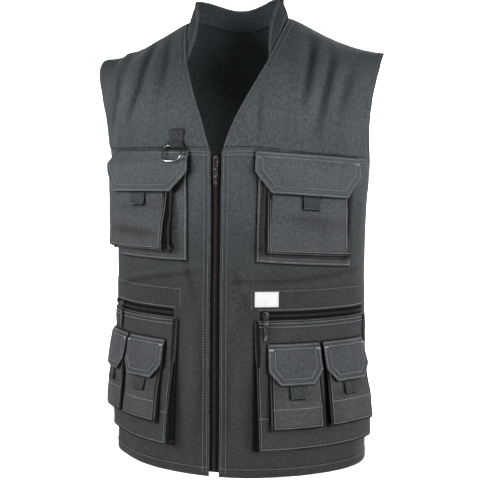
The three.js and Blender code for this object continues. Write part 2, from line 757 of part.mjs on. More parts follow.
// Webbing folded round the D-ring's bar, and the ring hanging from it
function buildRing() {
  const boreRadius = ringWire / 2 + webbingPlay;
  const loopRadius = boreRadius + webbingThickness;
  const stand = standOn(-ringInset, ringBarDown, clothThickness + webbingSeat + loopRadius);

  const strap = new THREE.Shape();
  strap.moveTo(-loopRadius, webbingRise);
  strap.lineTo(-loopRadius, 0);
  strap.absarc(0, 0, loopRadius, Math.PI, Math.PI * 1.5, false);
  strap.absarc(0, 0, loopRadius, Math.PI * 1.5, Math.PI * 2, false);
  strap.lineTo(loopRadius, 0);
  strap.lineTo(loopRadius - 0.4, 2.2);
  strap.lineTo(-loopRadius + 2 * webbingThickness, 7);
  strap.lineTo(-loopRadius + 2 * webbingThickness, webbingRise);
  strap.closePath();
  const bore = new THREE.Path();
  bore.absarc(0, 0, boreRadius, 0, Math.PI * 2, true);
  strap.holes.push(bore);
  const webbing = new THREE.ExtrudeGeometry(strap, { depth: webbingWidth, bevelEnabled: false, curveSegments: 6 });
  webbing.translate(0, 0, -webbingWidth / 2);
  webbing.applyMatrix4(new THREE.Matrix4().makeBasis(
    new THREE.Vector3(0, 0, 1), new THREE.Vector3(0, 1, 0), new THREE.Vector3(-1, 0, 0),
  ));
  addMesh(stand, 'webbing_loop', joined(webbing), webbingWeave());

  const half = ringWidth / 2 - ringWire / 2;
  const route = new THREE.CurvePath();
  const corner = 2.5;
  const shoulder = 8;
  const point = (x, y) => new THREE.Vector3(x, y, 0);
  route.add(new THREE.LineCurve3(point(-half + corner, 0), point(half - corner, 0)));
  route.add(new THREE.QuadraticBezierCurve3(point(half - corner, 0), point(half, 0), point(half, -corner)));
  route.add(new THREE.LineCurve3(point(half, -corner), point(half, -shoulder)));
  const reach = ringDrop - ringWire;
  route.add(new THREE.CubicBezierCurve3(
    point(half, -shoulder), point(half, -reach), point(half * 0.55, -reach), point(0, -reach),
  ));
  route.add(new THREE.CubicBezierCurve3(
    point(0, -reach), point(-half * 0.55, -reach), point(-half, -reach), point(-half, -shoulder),
  ));
  route.add(new THREE.LineCurve3(point(-half, -shoulder), point(-half, -corner)));
  route.add(new THREE.QuadraticBezierCurve3(point(-half, -corner), point(-half, 0), point(-half + corner, 0)));
  const sample = 34;
  const loop = new THREE.CatmullRomCurve3(route.getSpacedPoints(sample).slice(0, -1), true);
  const wire = new THREE.Shape();
  const wireSides = 8;
  for (let k = 0; k < wireSides; k += 1) {
    const angle = 2 * Math.PI * k / wireSides;
    wire[k === 0 ? 'moveTo' : 'lineTo'](ringWire / 2 * Math.cos(angle), ringWire / 2 * Math.sin(angle));
  }
  wire.closePath();
  const ring = new THREE.ExtrudeGeometry(wire, { steps: sample, extrudePath: loop });
  const mesh = addMesh(stand, 'd_ring', joined(ring), nickel());
  mesh.position.x = -ringShift;
  mesh.rotation.x = -ringTilt;
}

function buildLabel() {
  const seat = clothThickness + seatGap;
  const row = (down) => ({ down, from: labelInset, to: labelInset + labelWidth });
  const label = cloth({
    rows: [row(labelDown), row(labelDown + labelHeight)],
    across: 3,
    under: constant(seat),
    over: constant(seat + labelThickness),
  });
  addMesh(vest, 'label', label, labelCloth());
}

buildPanels();
buildCollar();
buildFrontZip();
buildFrontSlider();
buildChestPockets();
buildLowerPockets();
buildRing();
buildLabel();

export default vest;
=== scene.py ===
"""A utility work vest in its worn form: twill panels, stand collar, zips, bellows pockets, D-ring and label.

Metres, +Z up, the front faces -Y and the wearer's left is +X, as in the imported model.
"""
import math

import bmesh
import bpy
from mathutils import Matrix, Vector, noise


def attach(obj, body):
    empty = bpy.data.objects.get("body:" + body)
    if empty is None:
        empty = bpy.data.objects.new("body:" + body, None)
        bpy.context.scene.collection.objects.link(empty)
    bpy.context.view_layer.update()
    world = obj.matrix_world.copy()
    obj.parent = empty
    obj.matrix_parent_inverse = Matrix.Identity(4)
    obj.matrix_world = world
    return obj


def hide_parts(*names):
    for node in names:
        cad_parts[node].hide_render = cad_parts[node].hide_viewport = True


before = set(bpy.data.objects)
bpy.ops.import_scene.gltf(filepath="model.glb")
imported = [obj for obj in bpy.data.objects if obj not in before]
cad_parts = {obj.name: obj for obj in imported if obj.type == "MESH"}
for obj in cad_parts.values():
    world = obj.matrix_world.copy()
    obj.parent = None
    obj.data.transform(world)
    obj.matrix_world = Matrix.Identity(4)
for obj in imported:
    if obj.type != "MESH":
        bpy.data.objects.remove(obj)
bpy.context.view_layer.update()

# Body form
LENGTH = 0.677
HALF_WIDTH, FRONT_DEPTH, BACK_DEPTH = 0.225, 0.143, 0.124
SHOULDER_RISE, SHOULDER_DROP = 0.210, 0.066
NECK_REACH, NECK_EASE = 0.080, 0.025
SHOULDER_HOLLOW, CHEST_HOLLOW, BACK_HOLLOW = 0.75, 0.55, 0.30
SECTION_HALF, SECTION_DEPTH = 0.190, 0.132
ARC = math.radians(52)
SECTION_DOWN = (0.00, 0.16, 0.29, 0.44, 0.63, 0.82, 1.03)
SECTION_WIDTH = (1.000, 1.005, 0.918, 0.871, 0.862, 0.870, 0.870)
SECTION_FRONT = (0.875, 0.875, 0.890, 0.915, 0.950, 0.985, 1.000)
SECTION_BACK = (0.95, 0.95, 0.95, 0.95, 0.95, 0.98, 1.00)

# Neck and armholes
V_DEPTH, NECK_HALF, BACK_NECK_DROP = 0.212, 0.069, 0.058
ARMHOLE, OPENING = 0.250, 0.007
FRONT_SCOOP, BACK_SCOOP = 0.034, 0.050
V_DOWN = (0.00, 0.28, 0.54, 0.71, 0.85, 1.00)
V_OUT = (1.00, 0.93, 0.77, 0.55, 0.32, 0.10)
ARM_DOWN = (0.00, 0.16, 0.36, 0.60, 0.80, 0.94, 1.00)
ARM_SCOOP = (0.20, 0.65, 0.95, 1.00, 0.75, 0.25, 0.00)

# Cloth
PANEL = 0.002
SEAM = 0.0004
SEAT = PANEL + 0.0008

# Folds of the worn cloth: side, around, down, width, length, lean, height in metres
FOLDS = (
    (-1, 0.86, 0.17, 0.060, 0.130, 0.40, 0.0072),
    (-1, 0.66, 0.15, 0.035, 0.120, 0.45, 0.0048),
    (-1, 0.47, 0.14, 0.035, 0.110, 0.20, 0.0036),
    (1, 0.72, 0.15, 0.040, 0.120, 0.10, 0.0032),
    (1, 0.50, 0.14, 0.045, 0.110, -0.05, 0.0028),
    (-1, 0.30, 0.50, 0.060, 0.060, 0.30, 0.0020),
    (1, 0.40, 0.58, 0.160, 0.030, 0.00, 0.0024),
)

arc_sin, arc_cos = math.sin(ARC), math.cos(ARC)
arc_base = arc_sin * arc_cos - (1 - arc_sin) * (1 - arc_cos)
FRONT_RADIUS = (SECTION_HALF * arc_cos - SECTION_DEPTH * (1 - arc_sin)) / arc_base
SIDE_RADIUS = (SECTION_DEPTH * arc_sin - SECTION_HALF * (1 - arc_cos)) / arc_base
FRONT_ARC = FRONT_RADIUS * ARC
HALF_GIRTH = FRONT_ARC + SIDE_RADIUS * (math.pi / 2 - ARC)


def clamp(value, low=0.0, high=1.0):
    return min(max(value, low), high)


def mix(start, end, share):
    return start + (end - start) * share


def ease(share):
    share = clamp(share)
    return share * share * (3 - 2 * share)


def rolled(distance, reach, height):
    """How much a cloth edge falls away at a distance from it, like a folded and pressed edge."""
    near = clamp(distance / reach)
    return height * (1 - math.sqrt(1 - (1 - near) ** 2))


def hump(distance, width):
    return math.exp(-(distance / width) ** 2)


def along(places, values, place):
    """A value between a table's rows, on a smooth curve through them."""
    last = len(places) - 1
    row = 0
    while row < last - 1 and place > places[row + 1]:
        row += 1
    span = places[row + 1] - places[row]
    share = clamp((place - places[row]) / span)

    def slope(at):
        low, high = max(at - 1, 0), min(at + 1, last)
        return (values[high] - values[low]) / (places[high] - places[low])

    lift = slope(row) * span * (1 - share) - slope(row + 1) * span * share
    return mix(values[row], values[row + 1], ease(share)) + share * (1 - share) * lift


def base_point(girth, down, back=False):
    """A point of the vest's inner face, round the body from the centre line and down from the neck points."""
    share = down / LENGTH
    round_ = min(abs(girth), HALF_GIRTH)
    if round_ <= FRONT_ARC:
        turn = round_ / FRONT_RADIUS
        across = FRONT_RADIUS * math.sin(turn)
        deep = SECTION_DEPTH - FRONT_RADIUS * (1 - math.cos(turn))
    else:
        turn = ARC + (round_ - FRONT_ARC) / SIDE_RADIUS
        across = (FRONT_RADIUS - SIDE_RADIUS) * arc_sin + SIDE_RADIUS * math.sin(turn)
        deep = SIDE_RADIUS * math.cos(turn)
    width = HALF_WIDTH * along(SECTION_DOWN, SECTION_WIDTH, share)
    if back:
        depth = BACK_DEPTH * along(SECTION_DOWN, SECTION_BACK, share)
    else:
        depth = FRONT_DEPTH * along(SECTION_DOWN, SECTION_FRONT, share)
    x = width * across / SECTION_HALF
    y = depth * deep / SECTION_DEPTH
    z = -down
    if down < SHOULDER_RISE:
        roll = (1 - down / SHOULDER_RISE) * math.pi / 2
        hollow = BACK_HOLLOW if back else CHEST_HOLLOW
        y *= math.cos(roll) * (1 - hollow * math.sin(roll) ** 2)
        z = SHOULDER_RISE * (math.sin(roll) - 1)
        reach = x - NECK_REACH
        out = (reach + math.hypot(reach, NECK_EASE)) / 2 / (width - NECK_REACH)
        z -= SHOULDER_DROP * math.sin(roll) ** 3 * out * (1 + SHOULDER_HOLLOW * (1 - out))
    return Vector((math.copysign(x, girth), y if back else -y, z))


def body_frame(girth, down, back=False):
    """The directions along the cloth and out of it at a point."""
    step = 0.0005
    side = -1 if girth < 0 else 1
    reach = clamp(abs(girth), step, HALF_GIRTH - step) * side
    level = max(down, step)
    across = (base_point(reach + step, level, back) - base_point(reach - step, level, back)).normalized()
    up = (base_point(reach, level - step, back) - base_point(reach, level + step, back)).normalized()
    out = across.cross(up).normalized()
    return across, up, -out if back else out


# Places where hard fittings stand on the cloth, so it lies quiet there: girth, down, reach
QUIET = ((0.0, 0.225, 0.05), (0.071, 0.443, 0.035), (-0.178, 0.443, 0.035), (-0.056, 0.205, 0.03))


def fold_at(girth, down):
    height = 0.0
    for side, around, place, width, length, lean, rise in FOLDS:
        if (girth < 0) == (side < 0):
            below = down / LENGTH - place
            aside = abs(girth) / HALF_GIRTH - around - lean * below
            height += rise * math.exp(-(aside / width) ** 2 - (below / length) ** 2)
    return height * ease(down / 0.060)


# Creases that only the finished cloth has: side, path of (girth, down), width and height in metres
CREASES = (
    (-1, ((0.113, 0.066), (0.116, 0.102), (0.126, 0.141), (0.148, 0.174)), 0.0070, -0.0052),
    (-1, ((0.100, 0.070), (0.102, 0.129), (0.112, 0.170)), 0.0080, 0.0029),
    (-1, ((0.090, 0.056), (0.084, 0.114), (0.088, 0.150)), 0.0070, -0.0032),
    (-1, ((0.076, 0.050), (0.070, 0.120)), 0.0060, 0.0020),
    (-1, ((0.128, 0.080), (0.140, 0.125), (0.168, 0.170)), 0.0100, 0.0046),
    (-1, ((0.164, 0.105), (0.172, 0.150), (0.198, 0.184)), 0.0080, -0.0032),
    (-1, ((0.188, 0.110), (0.206, 0.170)), 0.0090, 0.0026),
    (-1, ((0.020, 0.370), (0.108, 0.384), (0.215, 0.404)), 0.0034, 0.0025),
    (-1, ((0.020, 0.379), (0.110, 0.394), (0.215, 0.415)), 0.0036, -0.0028),
    (-1, ((0.042, 0.420), (0.034, 0.500), (0.046, 0.620)), 0.0100, 0.0029),
    (-1, ((0.024, 0.440), (0.020, 0.540), (0.026, 0.640)), 0.0060, -0.0023),
    (-1, ((0.052, 0.350), (0.026, 0.430)), 0.0060, -0.0026),
    (-1, ((0.028, 0.250), (0.034, 0.340)), 0.0080, 0.0017),
    (1, ((0.088, 0.058), (0.096, 0.114), (0.100, 0.156)), 0.0056, 0.0035),
    (1, ((0.106, 0.068), (0.108, 0.115), (0.112, 0.164)), 0.0066, -0.0043),
    (1, ((0.120, 0.080), (0.124, 0.130), (0.126, 0.178)), 0.0066, 0.0032),
    (1, ((0.134, 0.090), (0.138, 0.150), (0.136, 0.190)), 0.0076, -0.0041),
    (1, ((0.150, 0.100), (0.152, 0.166)), 0.0080, 0.0026),
    (1, ((0.168, 0.110), (0.166, 0.180)), 0.0090, -0.0026),
    (1, ((0.044, 0.156), (0.049, 0.202)), 0.0036, 0.0019),
    (1, ((0.054, 0.150), (0.057, 0.200)), 0.0040, -0.0020),
    (1, ((0.020, 0.394), (0.110, 0.393), (0.220, 0.380)), 0.0034, -0.0025),
    (1, ((0.020, 0.402), (0.110, 0.400), (0.220, 0.388)), 0.0034, 0.0020),
    (1, ((0.040, 0.400), (0.014, 0.480)), 0.0060, 0.0026),
    (1, ((0.026, 0.370), (0.044, 0.430)), 0.0060, -0.0023),
    (1, ((0.038, 0.480), (0.030, 0.560), (0.038, 0.640)), 0.0090, 0.0026),
    (1, ((0.022, 0.500), (0.020, 0.620)), 0.0060, -0.0022),
)


# Pockets: places from the vest's top, widths round the body and heights above the panel, in metres
CHEST = {"inner": 0.050, "top": 0.208, "width": 0.152, "lid": 0.058, "corner": 0.022, "second_row": 0.0098,
         "seam_row": 0.0075, "tack_in": 0.002, "tack": 0.007, "backing_in": 0.005,
         "backing_width": 0.143, "backing_top": 0.217, "backing_low": 0.365, "box_top": 0.222, "box_low": 0.350,
         "tab_in": 0.065, "tab_top": 0.2664, "tab_width": 0.022, "tab_height": 0.0190}
SMALL = {"top": 0.482, "width": 0.072, "lid": 0.056, "corner": 0.014, "second_row": 0.0085,
         "seam_row": 0.0070, "tack_in": 0.001, "tack": 0.006, "box_in": 0.003, "box_top": 0.490,
         "box_low": 0.600, "tab_top": 0.5384, "tab_width": 0.019, "tab_height": 0.0185}
# The small pockets on a lower one: name, place, the slant of its upper fold and the level of the seam across it
SMALL_PLACES = (("inner", 0.017, 0.15, 0.571), ("outer", 0.094, -0.1, 0.566))
LOWER = {"zip_top": 0.437, "zip_height": 0.011, "inner": 0.057, "width": 0.178, "taper": 0.006, "top": 0.451,
         "height": 0.182, "top_depth": 0.0035, "inner_depth": 0.023}
SIDES = (
    {"name": "left", "sign": 1, "shift": 0.003, "droop": 0.070, "inset": 0.018, "box": 0.122, "outer_top": 0.0045,
     "outer_depth": 0.011, "lower_outer": 0.013, "small": 0.012, "shade": 0.0065, "seed": 11.0,
     "bends": ((0.62, 0.10, 0.060, -0.0010), (0.50, -0.06, 0.050, 0.0008), (0.80, 0.12, 0.050, 0.0008))},
    {"name": "right", "sign": -1, "shift": -0.012, "droop": 0.0, "inset": 0.030, "box": 0.124, "outer_top": 0.013,
     "outer_depth": 0.017, "lower_outer": 0.005, "small": 0.0085, "shade": 0.0, "seed": 23.0,
     "bends": ((0.80, -0.05, 0.055, -0.0020), (0.64, -0.10, 0.070, 0.0014), (0.52, 0.10, 0.050, -0.0009))},
)
# Cloth thicknesses and the first row of stitches' distance from an edge, in metres
PANEL_THICK, WALL, BACKING_THICK = 0.0015, 0.0015, 0.0012
LID_THICK, TAB_THICK, FIRST_ROW, TAB_ROW = 0.0017, 0.0013, 0.0022, 0.0020


def crease_rise(path, width, height, girth, down):
    """What one crease adds at a place: a rounded ridge or valley that runs out at both ends."""
    best, place = 1.0, 0.0
    spans = len(path) - 1
    for k, ((g0, d0), (g1, d1)) in enumerate(zip(path, path[1:])):
        run = (g1 - g0) ** 2 + (d1 - d0) ** 2
        share = ((girth - g0) * (g1 - g0) + (down - d0) * (d1 - d0)) / run
        held = clamp(share)
        away = math.hypot(girth - mix(g0, g1, held), down - mix(d0, d1, held))
        if away < best:
            best, place = away, (k + held) / spans
    if best > width * 2.6:
        return 0.0
    return height * hump(best, width) * math.sin(math.pi * clamp(0.06 + 0.88 * place)) ** 0.7


def crease_at(girth, down):
    """All the creases at a place of the front."""
    return sum(crease_rise(path, width, rise, abs(girth), down) for side, path, width, rise in CREASES
               if (girth < 0) == (side < 0))


def ripple_at(girth, down, back=False):
    """The small unevenness of worn cloth, none where hard fittings stand."""
    seed = 7.3 if back else 1.7
    calm = 1.0
    if not back:
        for spot, level, reach in QUIET:
            calm *= ease(math.hypot(girth - spot, down - level) / reach - 0.35)
    height = 0.0 if back else crease_at(girth, down)
    height += 0.0016 * noise.noise(Vector((girth * 14, down * 9, seed)))
    height += 0.0009 * noise.noise(Vector((girth * 38, down * 24, seed + 5)))
    height += 0.0004 * noise.noise(Vector((girth * 90, down * 70, seed + 9)))
    return height * calm * ease(down / 0.050)


def cloth_point(girth, down, depth, back=False):
    rise = depth + ripple_at(girth, down, back)
    if not back:
        rise += fold_at(girth, down)
    return base_point(girth, down, back) + body_frame(girth, down, back)[2] * rise


def v_edge(down):
    if down >= V_DEPTH:
        return OPENING
    return max(NECK_HALF * along(V_DOWN, V_OUT, down / V_DEPTH), OPENING)


def arm_edge(down, scoop):
    seam = HALF_GIRTH - SEAM / 2
    if down >= ARMHOLE:
        return seam
    return seam - scoop * along(ARM_DOWN, ARM_SCOOP, down / ARMHOLE)


# Shader fields

class Field:
    """A value on a material's surface: an output socket that Python's operators work on."""

    def __init__(self, finish, socket):
        self.finish = finish
        self.socket = socket

    def sum(self, operation, first, second):
        return self.finish.node("ShaderNodeMath", {"operation": operation}, {0: first, 1: second})

    def __add__(self, other):
        return self.sum("ADD", self, other)

    __radd__ = __add__

    def __sub__(self, other):
        return self.sum("SUBTRACT", self, other)

    def __rsub__(self, other):
        return self.sum("SUBTRACT", other, self)

    def __mul__(self, other):
        return self.sum("MULTIPLY", self, other)

    __rmul__ = __mul__

    def __abs__(self):
        return self.sum("ABSOLUTE", self, 0.0)


class Finish:
    """A material and the nodes that make its look."""

    def __init__(self, name, **settings):
        self.material = bpy.data.materials.new(name)
        self.material.use_nodes = True
        self.tree = self.material.node_tree
        self.shader = self.tree.nodes["Principled BSDF"]
        for socket, value in settings.items():
            self.set(socket.replace("_", " "), value)

    def set(self, socket, value):
        target = self.shader.inputs[socket]
        if isinstance(value, Field):
            self.tree.links.new(value.socket, target)
        elif hasattr(target.default_value, "__len__") and len(value) == 3:
            target.default_value = (*value, 1.0)
        else:
            target.default_value = value

    def node(self, kind, settings=None, sockets=None, output=0):
        made = self.tree.nodes.new(kind)
        for key, value in (settings or {}).items():
            if key == "stops":
                ramp = made.color_ramp.elements
                while len(ramp) < len(value):
                    ramp.new(0.5)
                for stop, (place, colour) in zip(ramp, value):
                    stop.position = place
                    stop.color = (*colour, 1.0) if len(colour) == 3 else colour
            else:
                setattr(made, key, value)
        for key, value in (sockets or {}).items():
            target = made.inputs[key]
            if isinstance(value, Field):
                self.tree.links.new(value.socket, target)
            elif hasattr(target.default_value, "__len__") and hasattr(value, "__len__") and len(value) == 3 \
                    and len(target.default_value) == 4:
                target.default_value = (*value, 1.0)
            else:
                target.default_value = value
        return Field(self, made.outputs[output])

    def cut(self):
        """Places on the flat cloth in metres, from the piece's own UV map."""
        return self.node("ShaderNodeUVMap", {"uv_map": "cut"})

    def place(self):
        return self.node("ShaderNodeTexCoord", output=3)

    def attribute(self, name):
        return self.node("ShaderNodeAttribute", {"attribute_name": name}, output=2)

    def noise(self, vector, scale, detail=2.0, roughness=0.5):
        return self.node("ShaderNodeTexNoise", {}, {
            "Vector": vector, "Scale": scale, "Detail": detail, "Roughness": roughness})

    def turned(self, vector, scale, angle=0.0):
        return self.node("ShaderNodeMapping", {}, {
            "Vector": vector, "Rotation": (0.0, 0.0, angle), "Scale": scale})

    def wave(self, vector, scale, distortion=0.0, detail_scale=1.0, direction="X"):
        return self.node("ShaderNodeTexWave", {"wave_type": "BANDS", "bands_direction": direction}, {
            "Vector": vector, "Scale": scale, "Distortion": distortion, "Detail": 1.0,
            "Detail Scale": detail_scale}, output=1)

    def ramp(self, value, stops):
        return self.node("ShaderNodeValToRGB", {"stops": stops}, {0: value})

    def between(self, value, low, high):
        """The value's share of the way from low to high, kept between 0 and 1."""
        return self.node("ShaderNodeMapRange", {"clamp": True}, {
            "Value": value, "From Min": low, "From Max": high})

    def blend(self, share, first, second, kind="MIX"):
        return self.node("ShaderNodeMix", {"data_type": "RGBA", "blend_type": kind, "clamp_factor": True}, {
            0: share, 6: first, 7: second}, output=2)

    def times(self, first, second):
        return self.blend(1.0, first, second, "MULTIPLY")

    def bump(self, height, strength, distance):
        self.set("Normal", self.node("ShaderNodeBump", {}, {
            "Strength": strength, "Distance": distance, "Height": height}))


def twill_finish(name, colour, light, low, rib=0.0011, fade=0.26):
    """Polycotton twill: slanting ribs, thread grain, uneven dye, puckered seams; painted shade towards the bottom, on
    the shoulders, in crease valleys, in nooks and round what lies on it, and painted light on crease ridges.
    """
    cloth = Finish(name, Specular_IOR_Level=0.16, Sheen_Weight=0.06, Sheen_Roughness=0.5)
    cut = cloth.cut()
    rubbed = cloth.attribute("edge")
    first, second = abs(rubbed - cloth.attribute("row_a")), abs(rubbed - cloth.attribute("row_b"))
    slant = cloth.turned(cut, (1 / rib, 1 / rib, 1.0), math.radians(62))
    ribs = cloth.wave(slant, 1 / math.pi, 0.35, 1.4)
    grain = cloth.noise(cut, 430.0, 3.0, 0.62)
    speck = cloth.noise(cloth.turned(cut, (1.0, 0.80, 1.0), 0.12), 230.0, 3.0, 0.66)
    dye = cloth.noise(cut, 15.0, 4.0, 0.6)
    streak = cloth.noise(cloth.turned(cut, (1.0, 0.14, 1.0), 0.1), 46.0, 4.0, 0.65)
    groove = cloth.between(first, 0.0012, 0.0) + cloth.between(second, 0.0012, 0.0)
    dip = cloth.between(first, 0.0028, 0.0) + cloth.between(second, 0.0028, 0.0)
    tone = 0.42 + 1.05 * (grain - 0.5) + 0.85 * (speck - 0.5) + 0.40 * (dye - 0.5) + 0.20 * (streak - 0.5) \
        + 0.16 * (ribs - 0.5) - 0.16 * dip
    base = cloth.ramp(tone, ((0.0, [c * 0.40 for c in colour]), (0.42, colour), (1.0, light)))
    # Painted shade: the cloth darkens towards the bottom, by the colour low, as the light falls off there.
    level = cloth.node("ShaderNodeSeparateXYZ", {}, {0: cloth.place()}, output=2)
    base = cloth.times(base, cloth.blend(cloth.between(level, -0.42, -0.16), low, (1.0, 1.0, 1.0)))
    # Painted shade on the shoulders, which face up, away from the lamps.
    painted_shoulder_shade = cloth.blend(cloth.between(level, -0.015, -0.125), (0.50, 0.53, 0.55), (1.0, 1.0, 1.0))
    base = cloth.times(base, painted_shoulder_shade)
    # Painted shadow: dark close round the pieces that lie on the cloth, and in the pockets' gussets.
    shaded = cloth.between(cloth.attribute("gap"), 0.0010, 0.0042)
    base = cloth.times(base, cloth.blend(shaded, (0.055, 0.055, 0.06), (1.0, 1.0, 1.0)))
    # Painted shade in the crease valleys and painted light on their ridges.
    folded = cloth.between(cloth.attribute("crease"), -0.0036, 0.0036)
    base = cloth.times(base, cloth.ramp(folded, (
        (0.0, (0.40, 0.40, 0.41)), (0.5, (0.84, 0.84, 0.84)), (1.0, (1.0, 1.0, 1.0)))))
    wear = cloth.between(rubbed, 0.0019, 0.0) * cloth.between(speck, 0.36, 0.56)
    base = cloth.blend(wear * fade, base, [c * 2.0 for c in light])
    # Painted shade: darker in nooks and between parts, from the ambient occlusion node.
    nook = cloth.node("ShaderNodeAmbientOcclusion", {"samples": 8}, {"Distance": 0.0085}, output=1)
    painted_nook_shade = cloth.blend(cloth.between(nook, 0.48, 0.88), (0.03, 0.03, 0.03), (1.0, 1.0, 1.0))
    cloth.set("Base Color", cloth.times(base, painted_nook_shade))
    cloth.set("Roughness", 0.80 + 0.16 * grain)
    pucker = cloth.noise(cut, 150.0, 2.0, 0.5)
    cloth.bump(0.25 * ribs + 0.7 * grain + 0.8 * speck + 2.6 * pucker * dip - 2.2 * groove + 1.4 * streak, 0.65, 0.0004)
    return cloth.material


def thread_finish(name, colour):
    """Twisted sewing thread, a little fluffy and unevenly lit."""
    thread = Finish(name, Specular_IOR_Level=0.25, Roughness=0.72)
    place = thread.place()
    twist = thread.noise(place, 900.0, 2.0)
    shade = thread.noise(place, 60.0, 2.0)
    thread.set("Base Color", thread.ramp(0.5 * twist + 0.5 * shade, (
        (0.30, [c * 0.45 for c in colour]), (0.70, [c * 1.25 for c in colour]))))
    thread.bump(twist, 0.5, 0.0002)
    return thread.material


def tape_finish(name, colour):
    """Woven zip tape: fine crosswise ribs."""
    tape = Finish(name, Specular_IOR_Level=0.06)
    cut = tape.cut()
    ribs = tape.wave(cut, 420.0, 0.2, 300.0, "Y")
    weave = tape.noise(cut, 700.0, 3.0, 0.6)
    tape.set("Base Color", tape.ramp(0.5 * ribs + 0.5 * weave, (
        (0.2, [c * 0.5 for c in colour]), (0.9, [c * 1.7 for c in colour]))))
    tape.set("Roughness", 0.75 + 0.15 * weave)
    tape.bump(ribs + 0.4 * weave, 0.6, 0.0003)
    return tape.material


def enamel_finish(name, colour, bare=(0.27, 0.28, 0.29), rubbing=0.66):
    """Black enamel on zip metal, rubbed through to bright metal in small spots."""
    enamel = Finish(name, Coat_Roughness=0.25)
    place = enamel.place()
    patches = enamel.noise(place, 260.0, 5.0, 0.7)
    fine = enamel.noise(place, 1900.0, 2.0)
    bright = enamel.between(patches + 0.12 * fine, rubbing, rubbing + 0.05)
    enamel.set("Base Color", enamel.blend(bright, colour, bare))
    enamel.set("Metallic", 0.35 + 0.65 * bright)
    enamel.set("Roughness", 0.34 - 0.06 * bright + 0.12 * fine)
    enamel.bump(fine, 0.15, 0.0001)
    return enamel.material


def nickel_finish(name):
    """Bright nickel plate with fine scratches and a little tarnish."""
    nickel = Finish(name, Metallic=1.0)
    place = nickel.place()
    tarnish = nickel.noise(place, 90.0, 4.0, 0.6)
    scratch = nickel.noise(nickel.turned(place, (1.0, 1.0, 9.0), 0.6), 420.0, 3.0, 0.7)
    nickel.set("Base Color", nickel.ramp(tarnish, ((0.3, (0.17, 0.17, 0.175)), (0.65, (0.50, 0.50, 0.51)))))
    nickel.set("Roughness", 0.12 + 0.14 * scratch)
    nickel.bump(scratch, 0.12, 0.0001)
    return nickel.material


def webbing_finish(name, colour):
    """Plain-woven nylon webbing: crosswise cords between lengthwise yarns."""
    webbing = Finish(name, Specular_IOR_Level=0.3, Sheen_Weight=0.05)
    cut = webbing.cut()
    cords = webbing.wave(cut, 260.0, 0.1, 100.0, "Y")
    yarns = webbing.wave(cut, 300.0, 0.1, 100.0, "X")
    weave = webbing.noise(cut, 500.0, 3.0)
    webbing.set("Base Color", webbing.ramp(0.4 * cords * yarns + 0.6 * weave, (
        (0.15, [c * 0.5 for c in colour]), (0.8, [c * 1.8 for c in colour]))))
    webbing.set("Roughness", 0.6 + 0.2 * weave)
    webbing.bump(cords * yarns + 0.3 * weave, 0.7, 0.0005)
    return webbing.material


def label_finish(name):
    """White woven label cloth with a fine damask rib, very slightly grubby."""
    label = Finish(name, Specular_IOR_Level=0.3, Sheen_Weight=0.1)
    cut = label.cut()
    ribs = label.wave(cut, 500.0, 0.1, 100.0, "X")
    weave = label.noise(cut, 900.0, 3.0)
    grime = label.noise(cut, 60.0, 4.0)
    edge = label.attribute("edge")
    tone = 0.55 * grime + 0.25 * weave + 0.20 * ribs
    clean = label.ramp(tone, ((0.25, (0.52, 0.53, 0.53)), (0.65, (0.70, 0.71, 0.71))))
    label.set("Base Color", label.blend(1.0 - label.between(edge, 0.0, 0.0012), clean, (0.55, 0.56, 0.56)))
    label.set("Roughness", 0.6 + 0.2 * weave)
    label.bump(ribs + weave, 0.4, 0.0002)
    return label.material


def floor_finish(name):
    floor = Finish(name, Specular_IOR_Level=0.1, Roughness=0.9)
    dust = floor.noise(floor.place(), 3.0, 2.0)
    floor.set("Base Color", floor.ramp(dust, ((0.0, (0.86, 0.86, 0.86)), (1.0, (0.92, 0.92, 0.92)))))
    return floor.material


# One twill in copies: the flap and pocket copies are painted lighter, for the light on the raised parts, and each copy
# is painted darker towards the bottom by its third colour.
TWILL = twill_finish("Charcoal twill", (0.062, 0.0725, 0.0770), (0.134, 0.151, 0.159), (0.50, 0.46, 0.455))
FLAP_TWILL_LIT = twill_finish("Flap twill painted lighter", (0.082, 0.0910, 0.0980), (0.172, 0.188, 0.198), (0.78, 0.75, 0.75))
POCKET_TWILL_LIT = twill_finish("Pocket twill painted lighter", (0.075, 0.0825, 0.0880), (0.158, 0.172, 0.182), (0.71, 0.675, 0.675))
LARGE = twill_finish("Lower pocket twill", (0.062, 0.0695, 0.0740), (0.132, 0.145, 0.152), (0.60, 0.57, 0.565))
TAB = twill_finish("Dark tab twill", (0.050, 0.0570, 0.0600), (0.105, 0.118, 0.124), (0.84, 0.81, 0.81))
THREAD = thread_finish("Grey topstitching", (0.370, 0.392, 0.405))
PANEL_THREAD = thread_finish("Panel thread", (0.245, 0.260, 0.268))
DARK_THREAD = thread_finish("Dark thread", (0.060, 0.066, 0.070))
WEBBING_THREAD = thread_finish("Webbing thread", (0.130, 0.138, 0.142))
# Painted shadow: a near-black thread run along the yoke seam, as the shadow in its ditch.
SEAM_SHADOW_THREAD = thread_finish("Painted seam shadow", (0.010, 0.011, 0.012))
TAPE = tape_finish("Zip tape", (0.005, 0.0052, 0.0058))
TEETH = enamel_finish("Zip teeth", (0.012, 0.012, 0.013), rubbing=0.70)
ENAMEL = enamel_finish("Zip enamel", (0.012, 0.012, 0.013), rubbing=0.61)
NICKEL = nickel_finish("Nickel plate")
WEBBING = webbing_finish("Webbing", (0.020, 0.022, 0.024))
LABEL = label_finish("Label cloth")


# Pieces

def finished(name, bm, material, replaced=(), body="vest"):
    """A finished piece from its bmesh, smooth, riding on a body."""
    mesh = bpy.data.meshes.new(name)
    for face in bm.faces:
        face.smooth = True
    bm.to_mesh(mesh)
    bm.free()
    piece = bpy.data.objects.new(name, mesh)
    bpy.context.scene.collection.objects.link(piece)
    mesh.materials.append(material)
    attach(piece, body)
    if replaced:
        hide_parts(*replaced)
    return piece


